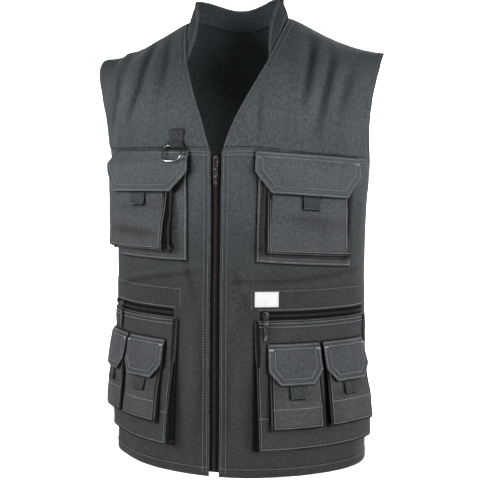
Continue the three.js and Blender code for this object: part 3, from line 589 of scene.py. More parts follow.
def thicken(piece, thickness):
    """Gives a cloth its thickness, inwards from its outer face."""
    wall = piece.modifiers.new("thickness", "SOLIDIFY")
    wall.thickness, wall.offset, wall.use_even_offset = thickness, -1.0, False


def spaced(start, end, step, edge=(0.0006, 0.0018, 0.0040)):
    """Places from start to end about a step apart, closer together at both ends."""
    length = end - start
    inset = [e for e in (edge or ()) if e < length / 3]
    low = inset[-1] if inset else 0.0
    count = max(round((length - 2 * low) / step), 1)
    middle = [start + low + (length - 2 * low) * k / count for k in range(count + 1)]
    return [start] * bool(inset) + [start + e for e in inset[:-1]] + middle \
        + [end - e for e in reversed(inset[:-1])] + [end] * bool(inset)


def laid(name, columns, rows, point, cut, edge, thickness, material, replaced=(),
         seams=(1.0, 1.0), crease=None, gap=None):
    """A cloth piece: a grid whose columns and rows are placed on the body, then given its thickness inwards.

    columns and rows are counts of cells, point and cut give a grid place's position and its place on the
    flat cloth, and edge its distance from the nearest edge. seams are its two rows' distances from that edge,
    crease gives the heights of its creases, and gap the distance from what lies on it. The material paints
    creases as shade in their valleys and light on their ridges, and paints shade where gap is small.
    """
    bm = bmesh.new()
    bmesh.ops.create_grid(bm, x_segments=columns, y_segments=rows, size=0.5)
    uv = bm.loops.layers.uv.new("cut")
    edges, row_a, row_b, creases, gaps = (
        bm.verts.layers.float.new(layer) for layer in ("edge", "row_a", "row_b", "crease", "gap"))
    for vert in bm.verts:
        i = round((vert.co.x + 0.5) * columns)
        j = round((0.5 - vert.co.y) * rows)
        vert.index = i * (rows + 1) + j
        vert[edges], vert[row_a], vert[row_b] = edge(i, j), seams[0], seams[1]
        vert[creases] = crease(i, j) if crease else 0.0
        vert[gaps] = gap(i, j) if gap else 1.0
    grid = {vert: (vert.index // (rows + 1), vert.index % (rows + 1)) for vert in bm.verts}
    for face in bm.faces:
        for loop in face.loops:
            loop[uv].uv = cut(*grid[loop.vert])
    for vert, (i, j) in grid.items():
        vert.co = point(i, j)
    middle_row = sorted((v for v, (i, j) in grid.items() if j == rows // 2), key=lambda v: grid[v][0])
    middle_column = sorted((v for v, (i, j) in grid.items() if i == columns // 2), key=lambda v: grid[v][1])
    width = sum((b.co - a.co).length for a, b in zip(middle_row, middle_row[1:]))
    height = sum((b.co - a.co).length for a, b in zip(middle_column, middle_column[1:]))
    area = sum(face.calc_area() for face in bm.faces)
    bm.normal_update()
    facing = sum((f.normal.dot(outward(f.calc_center_median())) * f.calc_area() for f in bm.faces), 0.0)
    if facing < 0:
        bmesh.ops.reverse_faces(bm, faces=bm.faces[:])
    piece = finished(name, bm, material, replaced)
    thicken(piece, thickness)
    flat = (width * 1.02, max(height, area / width) * 1.02)
    min(area, flat[0] * flat[1])
    return piece


def beyond(outlines, girth, down):
    """How far a place lies outside the pieces on it, counted faster past their outer and upper edges, so the shade
    painted from it is wider below and on the inner side.

    An outline is (low, high, top, bottom, corner): two girths, two levels and the size of its cut corners.
    """
    nearest = 1.0
    for low, high, top, bottom, corner in outlines:
        aside, below = max(low - girth, 2.4 * (girth - high)), max(2.4 * (top - down), down - bottom)
        away = max(aside, below)
        if corner:
            away = max(away, ((max(low - girth, girth - high) + corner) * 1.3 + down - bottom) / 1.64)
        nearest = min(nearest, away)
    return nearest


def outward(place):
    """Roughly out of the body at a place."""
    return Vector((place.x / HALF_WIDTH, place.y / FRONT_DEPTH, 0.12)).normalized()


class Stitching:
    """Rows of stitches gathered into one piece, each stitch a small bead of thread."""

    def __init__(self):
        self.rows = bmesh.new()
        bead = bmesh.new()
        bmesh.ops.create_icosphere(bead, subdivisions=1, radius=1.0)
        self.bead = bpy.data.meshes.new("bead")
        bead.to_mesh(self.bead)
        bead.free()

    def run(self, route, pitch=0.0038, length=0.0027, gauge=0.00048, sink=0.15):
        """A row of stitches along a route of (place, outward) pairs, pitch apart."""
        carry = pitch / 2
        for (start, out), (end, _) in zip(route, route[1:]):
            run = (end - start).length
            if run < 1e-7:
                continue
            way = (end - start) / run
            while carry < run:
                centre = start + way * carry + out * gauge * (1 - 2 * sink)
                side = out.cross(way).normalized()
                turn = Matrix((way * length / 2, side * gauge, way.cross(side) * gauge)).transposed().to_4x4()
                turn.translation = centre
                bead = self.bead.copy()
                bead.transform(turn)
                self.rows.from_mesh(bead)
                bpy.data.meshes.remove(bead)
                carry += pitch
            carry -= run

    def done(self, name, material=None):
        bmesh.ops.recalc_face_normals(self.rows, faces=self.rows.faces[:])
        return finished(name, self.rows, material or THREAD)


def route_on(sign, face, path, drop=None, back=False, step=0.010):
    """Places and directions on a cloth layer along a path of (girth, down) pairs."""
    route = []
    for (g0, d0), (g1, d1) in zip(path, path[1:]):
        count = max(round(math.hypot(g1 - g0, d1 - d0) / step), 1)
        for k in range(count + (g1 == path[-1][0] and d1 == path[-1][1])):
            girth, down = mix(g0, g1, k / count), mix(d0, d1, k / count)
            level = down + (drop(girth) if drop else 0.0)
            depth = face(girth, level)
            out = body_frame(sign * girth, level, back)[2]
            route.append((cloth_point(sign * girth, level, depth, back), out))
    return route


# Front panels

HEM = 0.0125


def yoke_line(girth, sign):
    """How far down the yoke's seam runs."""
    return 0.2035 + (0.070 * max(girth - 0.053, 0.0) if sign > 0 else 0.0)


FACING_TOP, FACING_IN = 0.405, 0.050


def panel_relief(girth, down, sign):
    """What the seams, hem and facings add to the panel's outer face."""
    rise = 0.0
    yoke = down - yoke_line(girth, sign)
    rise += 0.0014 * (1 - ease(yoke / 0.0015 + 0.5)) * ease((yoke + 0.03) / 0.03)
    rise += 0.0006 * ease((down - LENGTH + HEM + 0.0020) / 0.002)
    if girth > FACING_IN and down > FACING_TOP - 0.02:
        rise += 0.0007 * ease((down - FACING_TOP) / 0.0016) * ease((girth - FACING_IN) / 0.002) \
            * (1 - ease((down - 0.450) / 0.004))
    return rise


def panel_face(sign):
    return lambda girth, down: PANEL + panel_relief(girth, down, sign)


def on_panel(side, girth, down):
    """How far a place of a front panel lies outside the pockets on it."""
    inner = CHEST["inner"] + side["shift"]
    backing = inner + CHEST["backing_in"]
    level = down - side["droop"] * (girth - inner)
    chest = beyond([(inner, inner + CHEST["width"], CHEST["top"] + 0.002, CHEST["top"] + CHEST["lid"], CHEST["corner"]),
                    (backing, backing + CHEST["backing_width"], CHEST["backing_top"], CHEST["backing_low"], 0.0)],
                   girth, level)
    fall = clamp((down - LOWER["top"]) / LOWER["height"])
    low = LOWER["inner"] + LOWER["taper"] * fall - side["shade"] * fall
    bottom = LOWER["top"] + LOWER["height"] + 0.003
    lower = beyond([(low, LOWER["inner"] + LOWER["width"], LOWER["top"], bottom, 0.0)], girth, down)
    return min(chest, lower)


def build_front_panels():
    rows = sorted(set(
        [k * 0.0033 + 0.0014 for k in range(204)] + [0.2026, 0.2044, LENGTH - 0.0004, LENGTH]
        + [0.4043, 0.4057, LENGTH - HEM - 0.0022, LENGTH - HEM - 0.0006]))
    rows = [r for k, r in enumerate(rows) if k == len(rows) - 1 or rows[k + 1] - r > 0.0006]
    for side in SIDES:
        name, sign = side["name"], side["sign"]
        shares = spaced(0.0, 1.0, 1 / 74, (0.003, 0.009, 0.020))
        face = panel_face(sign)

        def place(i, j):
            down = rows[j]
            low, high = v_edge(down), arm_edge(down, FRONT_SCOOP)
            return mix(low, high, shares[i]), down, low, high

        def edge(i, j):
            girth, down, low, high = place(i, j)
            arm = high - girth if down < ARMHOLE else 1.0
            return min(girth - low, arm, max(LENGTH - down - HEM + 0.0085, 0.0034))

        def point(i, j):
            girth, down = place(i, j)[:2]
            return cloth_point(sign * girth, down, face(girth, down) - rolled(edge(i, j), 0.002, 0.0007))

        laid(f"front_cloth_{name}", len(shares) - 1, len(rows) - 1, point,
             lambda i, j: (place(i, j)[0] * 1.12, -place(i, j)[1]), edge, PANEL_THICK, TWILL,
             [f"front_panel_{name}"], seams=(FIRST_ROW, 0.0085),
             # The creases and the distance from the pockets, painted into the cloth as light and shade.
             crease=lambda i, j: crease_at(sign * place(i, j)[0], place(i, j)[1]),
             gap=lambda i, j: on_panel(side, *place(i, j)[:2]))

        seams = Stitching()
        levels = [0.012 + k * 0.005 for k in range(132)]
        for inset in (FIRST_ROW, 0.0085):
            edge_line = [(v_edge(d) + inset, d) for d in levels if d < V_DEPTH - 0.003]
            seams.run(route_on(sign, face, edge_line))
        for inset in (0.0035, 0.0095):
            seams.run(route_on(sign, face, [(OPENING + inset, 0.209), (OPENING + inset, LENGTH - 0.004)]))
        arm = [(arm_edge(d, FRONT_SCOOP) - 0.0085, d) for d in levels if 0.008 < d < ARMHOLE - 0.002]
        seams.run(route_on(sign, face, arm))
        hem = [(OPENING + 0.002, LENGTH - HEM), (HALF_GIRTH - 0.002, LENGTH - HEM)]
        seams.run(route_on(sign, face, hem))
        yoke = [(v_edge(0.205) + 0.001 + k * 0.012, yoke_line(v_edge(0.205) + k * 0.012, sign)) for k in range(19)]
        yoke = [p for p in yoke if p[0] < arm_edge(p[1], FRONT_SCOOP) - 0.002]
        for low in (0.0055, 0.0100):
            seams.run(route_on(sign, face, [(g, d + low) for g, d in yoke]))
        # Painted shadow along the yoke seam: a line of near-black thread beads.
        ditch = Stitching()
        ditch.run(route_on(sign, face, [(g, d + 0.0018) for g, d in yoke]), 0.0020, 0.0026, 0.00042)
        ditch.done(f"yoke_seam_shadow_{name}", SEAM_SHADOW_THREAD)
        top = FACING_TOP + 0.002
        facing = FACING_IN + 0.002
        seams.run(route_on(sign, face, [(facing, 0.434), (facing, top), (HALF_GIRTH - 0.003, top)]))
        side_seam = [(HALF_GIRTH - 0.004, ARMHOLE + 0.002), (HALF_GIRTH - 0.004, LENGTH - 0.002)]
        seams.run(route_on(sign, face, side_seam))
        seams.done(f"front_stitching_{name}", PANEL_THREAD)


# Back panel

def back_drop(girth, down):
    fade = max(1 - down / (ARMHOLE / 2), 0.0)
    return BACK_NECK_DROP * fade * max(1 - (girth / NECK_HALF) ** 2, 0.0)


def back_relief(girth, down):
    rise = 0.0008 * (1 - ease((down - 0.165) / 0.0016)) + 0.0006 * ease((down - LENGTH + HEM + 0.0020) / 0.002)
    rise += 0.0022 * hump(abs(girth) - 0.085, 0.012) * ease((down - 0.17) / 0.02) * (1 - 0.6 * ease((down - 0.2) / 0.3))
    rise += 0.0016 * hump(abs(girth) - 0.150, 0.020) * ease((down - 0.10) / 0.06)
    return rise


def back_face(girth, down):
    return PANEL + back_relief(girth, down)


def build_back_panel():
    rows = sorted(set([0.0014 + k * 0.0048 for k in range(141)]
                      + [0.164, 0.1666, LENGTH - HEM - 0.0022, LENGTH - HEM - 0.0006, LENGTH]))
    shares = spaced(-1.0, 1.0, 2 / 96, (0.003, 0.009, 0.020))

    def place(i, j):
        high = arm_edge(rows[j], BACK_SCOOP)
        girth = high * shares[i] * (0.86 + 0.14 * shares[i] ** 2)
        return girth, rows[j] + back_drop(girth, rows[j]), high

    def edge(i, j):
        girth, down, high = place(i, j)
        return min(high - abs(girth) if down < ARMHOLE else 9.0, LENGTH - down, rows[j] + 0.002)

    def point(i, j):
        girth, down = place(i, j)[:2]
        return cloth_point(girth + 1e-6, down, back_face(girth, down) - rolled(edge(i, j), 0.002, 0.0007), True)

    laid("back_cloth", len(shares) - 1, len(rows) - 1, point,
         lambda i, j: (place(i, j)[0] * 1.12, -place(i, j)[1]), edge, PANEL_THICK, TWILL,
         ["back_panel"])
    seams = Stitching()
    for low in (0.0028, 0.0075):
        yoke = [(-0.180 + k * 0.012, 0.1655 + low) for k in range(31)]
        yoke = [p for p in yoke if abs(p[0]) < arm_edge(p[1], BACK_SCOOP) - 0.002]
        seams.run(route_on(1, back_face, yoke, back=True))
    seams.run(route_on(1, back_face, [(-HALF_GIRTH + 0.003, LENGTH - HEM), (HALF_GIRTH - 0.003, LENGTH - HEM)],
                       back=True))
    for side in (-1, 1):
        arm = [(side * (arm_edge(d, BACK_SCOOP) - 0.0085), d) for d in [0.010 + k * 0.005 for k in range(48)]]
        seams.run(route_on(1, back_face, arm, back=True))
    seams.done("back_stitching", PANEL_THREAD)


# Collar

COLLAR_HEIGHT, COLLAR_SEAT, COLLAR_DOWN = 0.034, 0.0012, 0.112
LEAN_FRONT, LEAN_BACK, COLLAR_RISE = math.radians(58), math.radians(20), 0.24


def neck_route():
    """The neck edge from the left front round the back to the right front, as evenly spaced places."""
    points = []
    for step in range(16):
        down = COLLAR_DOWN * (1 - step / 16)
        points.append(base_point(v_edge(down), down) + body_frame(v_edge(down), down)[2] * fold_at(v_edge(down), down))
    for step in range(25):
        girth = NECK_HALF * (1 - step / 24)
        points.append(base_point(girth + 1e-6, BACK_NECK_DROP * (1 - (girth / NECK_HALF) ** 2), True))
    points += [Vector((-p.x, p.y, p.z)) for p in reversed(points[:-1])]
    lengths = [0.0]
    for a, b in zip(points, points[1:]):
        lengths.append(lengths[-1] + (b - a).length)

    def at(share):
        target = clamp(share) * lengths[-1]
        k = 0
        while k < len(lengths) - 2 and lengths[k + 1] < target:
            k += 1
        return points[k].lerp(points[k + 1], clamp((target - lengths[k]) / max(lengths[k + 1] - lengths[k], 1e-9)))

    return at, lengths[-1]


def build_collar():
    at, length = neck_route()

    def soft(share):
        if 0.02 < share < 0.98:
            return sum((at(share + k * 0.006) for k in (-2, -1, 0, 1, 2)), Vector()) / 5
        return at(share)

    def band(share, rise, outward_by):
        tangent = (soft(min(share + 0.006, 1)) - soft(max(share - 0.006, 0))).normalized()
        out = tangent.cross(Vector((0, 0, 1))).normalized()
        to_end = min(share, 1 - share) / COLLAR_RISE
        full = math.sin(min(to_end, 1) * math.pi / 2)
        lean = mix(LEAN_FRONT, LEAN_BACK, min(to_end, 1))
        height = max(COLLAR_HEIGHT * full, 0.0015)
        bend = 0.0016 * math.sin(rise * math.pi) * full + 0.0007 * noise.noise(Vector((share * 30, rise * 2, 3.0)))
        shift = outward_by + bend
        return soft(share) + out * (-COLLAR_SEAT - math.sin(lean) * height * rise + math.cos(lean) * shift) \
            + Vector((0, 0, math.cos(lean) * height * rise + math.sin(lean) * shift))

    shares = spaced(0.0, 1.0, 1 / 150, (0.002, 0.005, 0.009))
    rises = [0, 0.03, 0.08, 0.15, 0.24, 0.34, 0.44, 0.54, 0.64, 0.74, 0.83, 0.90, 0.95, 0.98, 1.0]

    def edge(i, j):
        return min((1 - rises[j]) * COLLAR_HEIGHT, min(shares[i], 1 - shares[i]) * length)

    def point(i, j):
        return band(shares[i], rises[j], -rolled(edge(i, j), 0.0022, 0.0009))

    laid("collar_cloth", len(shares) - 1, len(rises) - 1, point,
         lambda i, j: (shares[i] * length, rises[j] * COLLAR_HEIGHT), edge, 0.0024, TWILL,
         ["collar"])
    seams = Stitching()
    for low, span in ((0.0040, (0.02, 0.98)), (0.0250, (0.10, 0.90))):
        route = []
        for k in range(121):
            share = mix(span[0], span[1], k / 120)
            to_end = min(share, 1 - share) / COLLAR_RISE
            height = max(COLLAR_HEIGHT * math.sin(min(to_end, 1) * math.pi / 2), 0.0015)
            rise = clamp(1 - low / height, 0.12, 1.0)
            here, ahead = band(share, rise, 0.0), band(share + 0.002, rise, 0.0)
            above = band(share, min(rise + 0.05, 1), 0.0)
            out = (ahead - here).cross(above - here).normalized()
            if out.dot(outward(here)) < 0:
                out = -out
            route.append((here, out))
        seams.run(route)
    seams.done("collar_stitching", PANEL_THREAD)


# Zips

TAPE_WIDTH, CHAIN, ZIP_MARGIN = 0.013, 0.006, 0.006


def build_front_zip():
    top, bottom = V_DEPTH + 0.001, LENGTH - ZIP_MARGIN
    downs = spaced(top, bottom, 0.006, None)
    for side, sign in (("left", 1), ("right", -1)):
        girths = [0.0001, 0.0012, 0.0028, 0.0045, 0.0060, 0.0090, 0.0125, CHAIN / 2 + SEAM + TAPE_WIDTH]
        laid(f"front_tape_{side}", len(girths) - 1, len(downs) - 1,
             lambda i, j, sign=sign, girths=girths: cloth_point(sign * girths[i], downs[j], -SEAM),
             lambda i, j, girths=girths: (girths[i], downs[j]), lambda i, j: 1.0, 0.0009, TAPE,
             [f"front_zip_tape_{side}"])
    teeth = bmesh.new()
    tooth = tooth_shape(0.0036, 0.0011, 0.0022)
    count = round((bottom - top - 0.002) / 0.0015)
    for k in range(count):
        down = top + 0.001 + k * 0.0015
        sign = 1 if k % 2 else -1
        across, _, out = body_frame(sign * 0.0008, down)
        place = cloth_point(0.0, down, 0.0) + across * sign * 0.0009 + out * 0.0003
        set_in(teeth, tooth, across * sign, out, place)
    piece = finished("front_teeth", teeth, TEETH, ["front_zip_chain"])
    return piece


def tooth_shape(width, height, thick):
    """One moulded zip tooth, its head rounded."""
    bm = bmesh.new()
    bmesh.ops.create_cube(bm, size=1.0)
    bmesh.ops.scale(bm, vec=(width, height, thick), verts=bm.verts[:])
    bmesh.ops.bevel(bm, geom=bm.edges[:], offset=min(height, thick) * 0.24, offset_type="OFFSET", segments=1,
                    profile=0.5, affect="EDGES", material=-1)
    mesh = bpy.data.meshes.new("tooth")
    bm.to_mesh(mesh)
    bm.free()
    return mesh


def set_in(bm, shape, across, out, place):
    """Adds a small shape to a bmesh, turned to a frame and set at a place."""
    turn = Matrix((across, out.cross(across).normalized(), out)).transposed().to_4x4()
    turn.translation = place
    copy = shape.copy()
    copy.transform(turn)
    bm.from_mesh(copy)
    bpy.data.meshes.remove(copy)


# Pockets

def pocket(name, side, girths, top, bottom, base, face, drop, fold, replaced, taper=0.0, sag=0.0012,
           seed=0.0, seams=(0.0032, 1.0), material=None, ridge=0.0, bends=(), over=()):
    """A bellows pocket: the front wall, and side and bottom gussets folded inwards, as one cloth.

    base is the face that the gussets are sewn to and face the front wall's, as heights at a girth and level.
    """
    sign = side["sign"]
    low, high = girths
    depth_shares = (0.0, 0.10, 0.20, 0.32, 0.42, 0.48, 0.54, 0.64, 0.76, 0.88, 0.95)
    fold_shares = [0.0, 0.45, 0.85, 0.90, 0.60, 0.50, 0.60, 0.90, 1.0, 0.50, 0.15]
    fold_shares = [f - ridge * hump(s - 0.48, 0.13) for s, f in zip(depth_shares, fold_shares)]
    across = spaced(0.0, high - low, 0.0040, (0.0010, 0.0026, 0.0046))
    downs = spaced(0.0, bottom - top, 0.0042, (0.0010, 0.0026, 0.0046))
    gusset = list(zip(depth_shares, fold_shares))
    columns = [(s, f, 0.0) for s, f in gusset] + [(1.0, 0.0, a) for a in across] \
        + [(s, f, across[-1]) for s, f in reversed(gusset)]
    levels = [(1.0, 0.0, d) for d in downs] + [(s, f, downs[-1]) for s, f in reversed(gusset)]
    last = len(gusset) + len(across) - 1

    def flat(i, j):
        s, f, a = columns[i]
        t, g, d = levels[j]
        lean = taper * clamp(d / (bottom - top))
        inward = f * fold * (1 if i < len(gusset) else -1)
        return low + lean + (high - low - lean) * a / (high - low) + inward, top + d - g * fold * 0.8, s, t

    def edge(i, j):
        s, _, a = columns[i]
        t, _, d = levels[j]
        if s < 1 or t < 1:
            return 0.0004 if ridge and min(s, t) == 0.48 else 0.010 + (1 - min(s, t)) * 0.02
        return max(min(a, across[-1] - a, downs[-1] - d), 0.0)

    def bend(girth, plain):
        """The shallow folds across the front wall, strongest in its middle."""
        share, fall = clamp((girth - low) / (high - low)), (plain - top) / (bottom - top)
        middle = math.sin(math.pi * clamp(share * 0.8 + 0.1))
        return middle * sum(rise * hump(fall - place - slope * (share - 0.5), spread)
                            for place, slope, spread, rise in bends)

    def outer(girth, level):
        share = clamp((girth - low) / (high - low))
        plain = level - drop(girth)
        fall = clamp((plain - top) / (bottom - top))
        puff = sag * math.sin(math.pi * share) * (0.25 + math.sin(math.pi * clamp(fall * 0.9 + 0.05)))
        soft = 0.0014 * noise.noise(Vector((girth * 28, plain * 18, seed))) * ease(fall * 3) \
            + 0.0007 * noise.noise(Vector((girth * 80, plain * 40, seed + 3)))
        return face(girth, level) + puff + soft + bend(girth, plain)

    def point(i, j):
        girth, down, s, t = flat(i, j)
        level = down + drop(girth)
        wall = outer(girth, level)
        if s == 1 and t == 1:
            wall -= rolled(edge(i, j), 0.0026, 0.0011)
        inward = min(s, t)
        crumple = 0.0018 * noise.noise(Vector((girth * 60 + 9, level * 45, seed + 6))) * (1 - inward) * ease(inward * 6)
        return cloth_point(sign * (girth + crumple), level, mix(base(girth, level), wall, inward) + crumple)

    def gap(i, j):
        girth, down, s, t = flat(i, j)
        # Painted shade: the gussets get a small gap, so they are painted dark, and the mid pleat's ridge a larger one,
        # so it is less dark.
        if min(s, t) < 1:
            return 0.0034 if ridge and min(s, t) == 0.48 else 0.0011
        return beyond(over, girth, down)

    def cut(i, j):
        girth, down, s, t = flat(i, j)
        return girth * 1.1 + (1 - s) * 0.02 * (1 if i >= last else -1), -down - (1 - t) * 0.02

    # The folds across the front wall, which the material paints as shade in their valleys and light on their ridges.
    def crease(i, j):
        girth, down, s, t = flat(i, j)
        return bend(girth, down) * 1.6 if min(s, t) == 1 else 0.0

    laid(name, len(columns) - 1, len(levels) - 1, point, cut, edge, WALL, material or POCKET_TWILL_LIT,
         replaced, seams, crease, gap)
    return outer


def flap_rows(top, inner, width, height, corner, rise):
    """Rows of a flap, (down, from, to): straight sides, then corners cut off towards the lower edge."""
    outer, low = inner + width, top + height
    bend = low - corner * 1.3
    rows = [(top, inner, outer), (top + 0.001, inner, outer), (top + rise, inner, outer)]
    steps = 12
    rows += [(mix(top + rise, bend, k / steps), inner, outer) for k in range(1, steps + 1)]
    steps = 10
    rows += [(mix(bend, low, k / steps), mix(inner, inner + corner, k / steps), mix(outer, outer - corner, k / steps))
             for k in range(1, steps)]
    rows += [(low - 0.0018, inner + corner * 0.94, outer - corner * 0.94),
             (low - 0.0006, inner + corner * 0.98, outer - corner * 0.98), (low, inner + corner, outer - corner)]
    return rows


def flap(name, side, rows, face, drop, thickness, material, replaced, curl=0.0034, seed=0.0,
         seams=(0.0022, 1.0), over=()):
    """A flap or tab: flat cloth that leaves its seam, lies on the pocket and curls a little at its free edge."""
    sign = side["sign"]
    top, low = rows[0][0], rows[-1][0]
    widest = max(r[2] - r[1] for r in rows)
    places = spaced(0.0, 1.0, 0.0045 / widest, (0.0006 / widest, 0.0018 / widest, 0.0040 / widest))

    def flat(i, j):
        down, start, end = rows[j]
        return mix(start, end, places[i]), down, start, end

    def edge(i, j):
        girth, down, start, end = flat(i, j)
        return max(min(girth - start, end - girth, low - down), 0.0)

    def lift(girth, down):
        fall = clamp((down - top) / (low - top))
        middle = (rows[0][1] + rows[0][2]) / 2
        aside = abs(girth - middle) / (widest / 2)
        wave = noise.noise(Vector((girth * 30, down * 20, seed)))
        return curl * fall ** 3 * (0.35 + 0.65 * aside ** 2) + 0.0008 * wave * fall

    def point(i, j):
        girth, down = flat(i, j)[:2]
        level = down + drop(girth)
        height = face(girth, level) + lift(girth, down) - rolled(edge(i, j), 0.0018, 0.0007)
        return cloth_point(sign * girth, level, height)

    laid(name, len(places) - 1, len(rows) - 1, point, lambda i, j: (flat(i, j)[0] * 1.1, -flat(i, j)[1]), edge,
         thickness, material, replaced, seams, gap=lambda i, j: beyond(over, *flat(i, j)[:2]))
    return lambda girth, level: face(girth, level) + lift(girth, level - drop(girth))


def outline_path(rows, inset, top):
    """The seam inside a flap's free edge: down one side, along the cut corners and up the other side."""
    start, bend, end = rows[0], rows[14], rows[-1]
    height, corner = end[0] - bend[0], end[1] - start[1]
    slip = inset * (math.hypot(height, corner) - height) / corner if corner > 1e-6 else 0.0
    foot = inset * (math.hypot(height, corner) - corner) / height if height > 1e-6 else 0.0
    left = [(start[1] + inset, start[0] + top), (start[1] + inset, bend[0] - slip),
            (end[1] + foot, end[0] - inset)]
    right = [(end[2] - foot, end[0] - inset), (start[2] - inset, bend[0] - slip), (start[2] - inset, start[0] + top)]
    return left + right


def bar_tack(seams, side, face, drop, girth, down, length):
    """A short dense bar of stitches across a seam's end."""
    for k in range(5):
        level = down + (k - 2) * 0.0004
        seams.run(route_on(side["sign"], face, [(girth, level), (girth + length, level)], drop, step=0.003),
                  pitch=0.0016, length=0.0018, gauge=0.00034)


def down_and_up(low, high, top, bottom):
    """A path down one side, across the bottom and up the other side."""
    return [(low, top), (low, bottom), (high, bottom), (high, top)]


def stitch_lid(seams, side, lid, rows, drop, sizes):
    """Two rows along a lid's free edge, two along its seam and a bar tack at both ends."""
    top, low, high = rows[0]
    for from_edge, from_top in ((FIRST_ROW, 0.008), (sizes["second_row"], 0.010)):
        seams.run(route_on(side["sign"], lid, outline_path(rows, from_edge, from_top), drop))
    for level in (FIRST_ROW, sizes["seam_row"]):
        seams.run(route_on(side["sign"], lid, [(low + 0.002, top + level), (high - 0.002, top + level)], drop))
    for girth in (low + sizes["tack_in"], high - sizes["tack_in"] - sizes["tack"]):
        bar_tack(seams, side, lid, drop, girth, top + sizes["seam_row"] + 0.0010, sizes["tack"])


def tab_outline(low, sizes):
    """A pull tab's outline as far as it shows, from its lower girth."""
    return low, low + sizes["tab_width"], sizes["tab_top"], sizes["tab_top"] + sizes["tab_height"], 0.0


def build_tab(name, stitching, side, low, sizes, face, drop, replaced, seed, lid):
    """A dark pull tab that hangs from under a lid, with a row of stitches round its free edges."""
    _, high, top, bottom, _ = tab_outline(low, sizes)
    rows = [(mix(top - 0.004, bottom, k / 12), low, high) for k in range(13)]
    tab = flap(name, side, rows, face, drop, TAB_THICK, TAB, [replaced], curl=0.0036, seed=seed,
               over=[lid])
    path = down_and_up(low + TAB_ROW, low + (sizes["tab_width"] - TAB_ROW), top, bottom - TAB_ROW)
    seams = Stitching()
    seams.run(route_on(side["sign"], tab, path, drop), gauge=0.00034)
    seams.done(stitching, DARK_THREAD)


def build_chest_pocket(side):
    name, sign = side["name"], side["sign"]
    inner = CHEST["inner"] + side["shift"]
    top, box_top, box_low = CHEST["top"], CHEST["box_top"], CHEST["box_low"]
    backing, backing_top, foot = inner + CHEST["backing_in"], CHEST["backing_top"], CHEST["backing_low"]
    backing_end, backing_face = backing + CHEST["backing_width"], SEAT + 0.0014
    box, box_end = inner + side["inset"], inner + side["inset"] + side["box"]
    tab = inner + CHEST["tab_in"]
    lid_outline = (inner, inner + CHEST["width"], top, top + CHEST["lid"], CHEST["corner"])

    def drop(girth):
        return side["droop"] * (girth - inner)

    levels = [mix(backing_top, foot, k / 34) for k in range(34)] + [foot - 0.0006, foot]
    back = flap(f"chest_backing_{name}", side, [(level, backing, backing_end) for level in levels],
                lambda girth, level: backing_face, drop, BACKING_THICK, POCKET_TWILL_LIT, [f"chest_pocket_backing_{name}"],
                curl=0.0, seed=side["seed"],
                over=[lid_outline, (box, box_end, box_top, box_low + 0.003, 0.0)])

    def box_face(girth, level):
        across = clamp((girth - box) / side["box"])
        fall = ease((level - drop(girth) - box_top) / (box_low - box_top))
        high = mix(0.0045, side["outer_top"], across)
        deep = mix(0.024, side["outer_depth"], across)
        return backing_face + mix(high, deep, fall)

    outer = pocket(f"chest_pocket_{name}", side, (box, box_end), box_top, box_low,
                   lambda girth, level: backing_face + 0.0016, box_face, drop, 0.009, [f"chest_pocket_box_{name}"],
                   seed=side["seed"] + 1, ridge=1.1, bends=side["bends"],
                   over=[lid_outline, tab_outline(tab, CHEST)])
    seams = Stitching()
    front = down_and_up(box + 0.0032, box_end - 0.0032, box_top + 0.004, box_low - 0.0035)
    second = [(box_end - 0.0085, box_top + 0.010), (box_end - 0.0085, box_low - 0.010)]
    behind = down_and_up(backing + 0.0022, backing_end - 0.0022, backing_top + 0.03, foot - 0.0022)
    for face, path in ((outer, front), (outer, second), (back, behind)):
        seams.run(route_on(sign, face, path, drop))

    def lid_face(girth, level):
        fall = level - drop(girth) - top
        over = outer(girth, level) + 0.0005 + 0.0022 * ease(fall / CHEST["lid"])
        return mix(SEAT, over, ease(fall / (box_top - top + 0.004))) + 0.0018

    rows = flap_rows(top, inner, CHEST["width"], CHEST["lid"], CHEST["corner"], box_top - top)
    lid = flap(f"chest_flap_{name}", side, rows, lid_face, drop, LID_THICK, FLAP_TWILL_LIT, [f"chest_pocket_flap_{name}"],
               seed=side["seed"] + 2,
               seams=(FIRST_ROW, CHEST["second_row"]))
    stitch_lid(seams, side, lid, rows, drop, CHEST)
    seams.done(f"chest_stitching_{name}")
    build_tab(f"chest_tab_{name}", f"chest_tab_stitching_{name}", side, tab, CHEST,
              lambda girth, level: outer(girth, level) + 0.0018, drop, f"chest_pocket_tab_{name}",
              side["seed"] + 3, lid_outline)


def no_drop(girth):
    """The lower pockets' seams run level."""
    return 0.0


def small_outlines():
    """The outlines of the small pockets and their lids on a lower pocket."""
    outlines = []
    for _, inset, _, _ in SMALL_PLACES:
        start = LOWER["inner"] + inset
        end, box_in = start + SMALL["width"], SMALL["box_in"]
        outlines.append((start + box_in, end - box_in, SMALL["box_top"], SMALL["box_low"] + 0.002, 0.0))
        outlines.append((start, end, SMALL["top"], SMALL["top"] + SMALL["lid"], SMALL["corner"]))
    return outlines


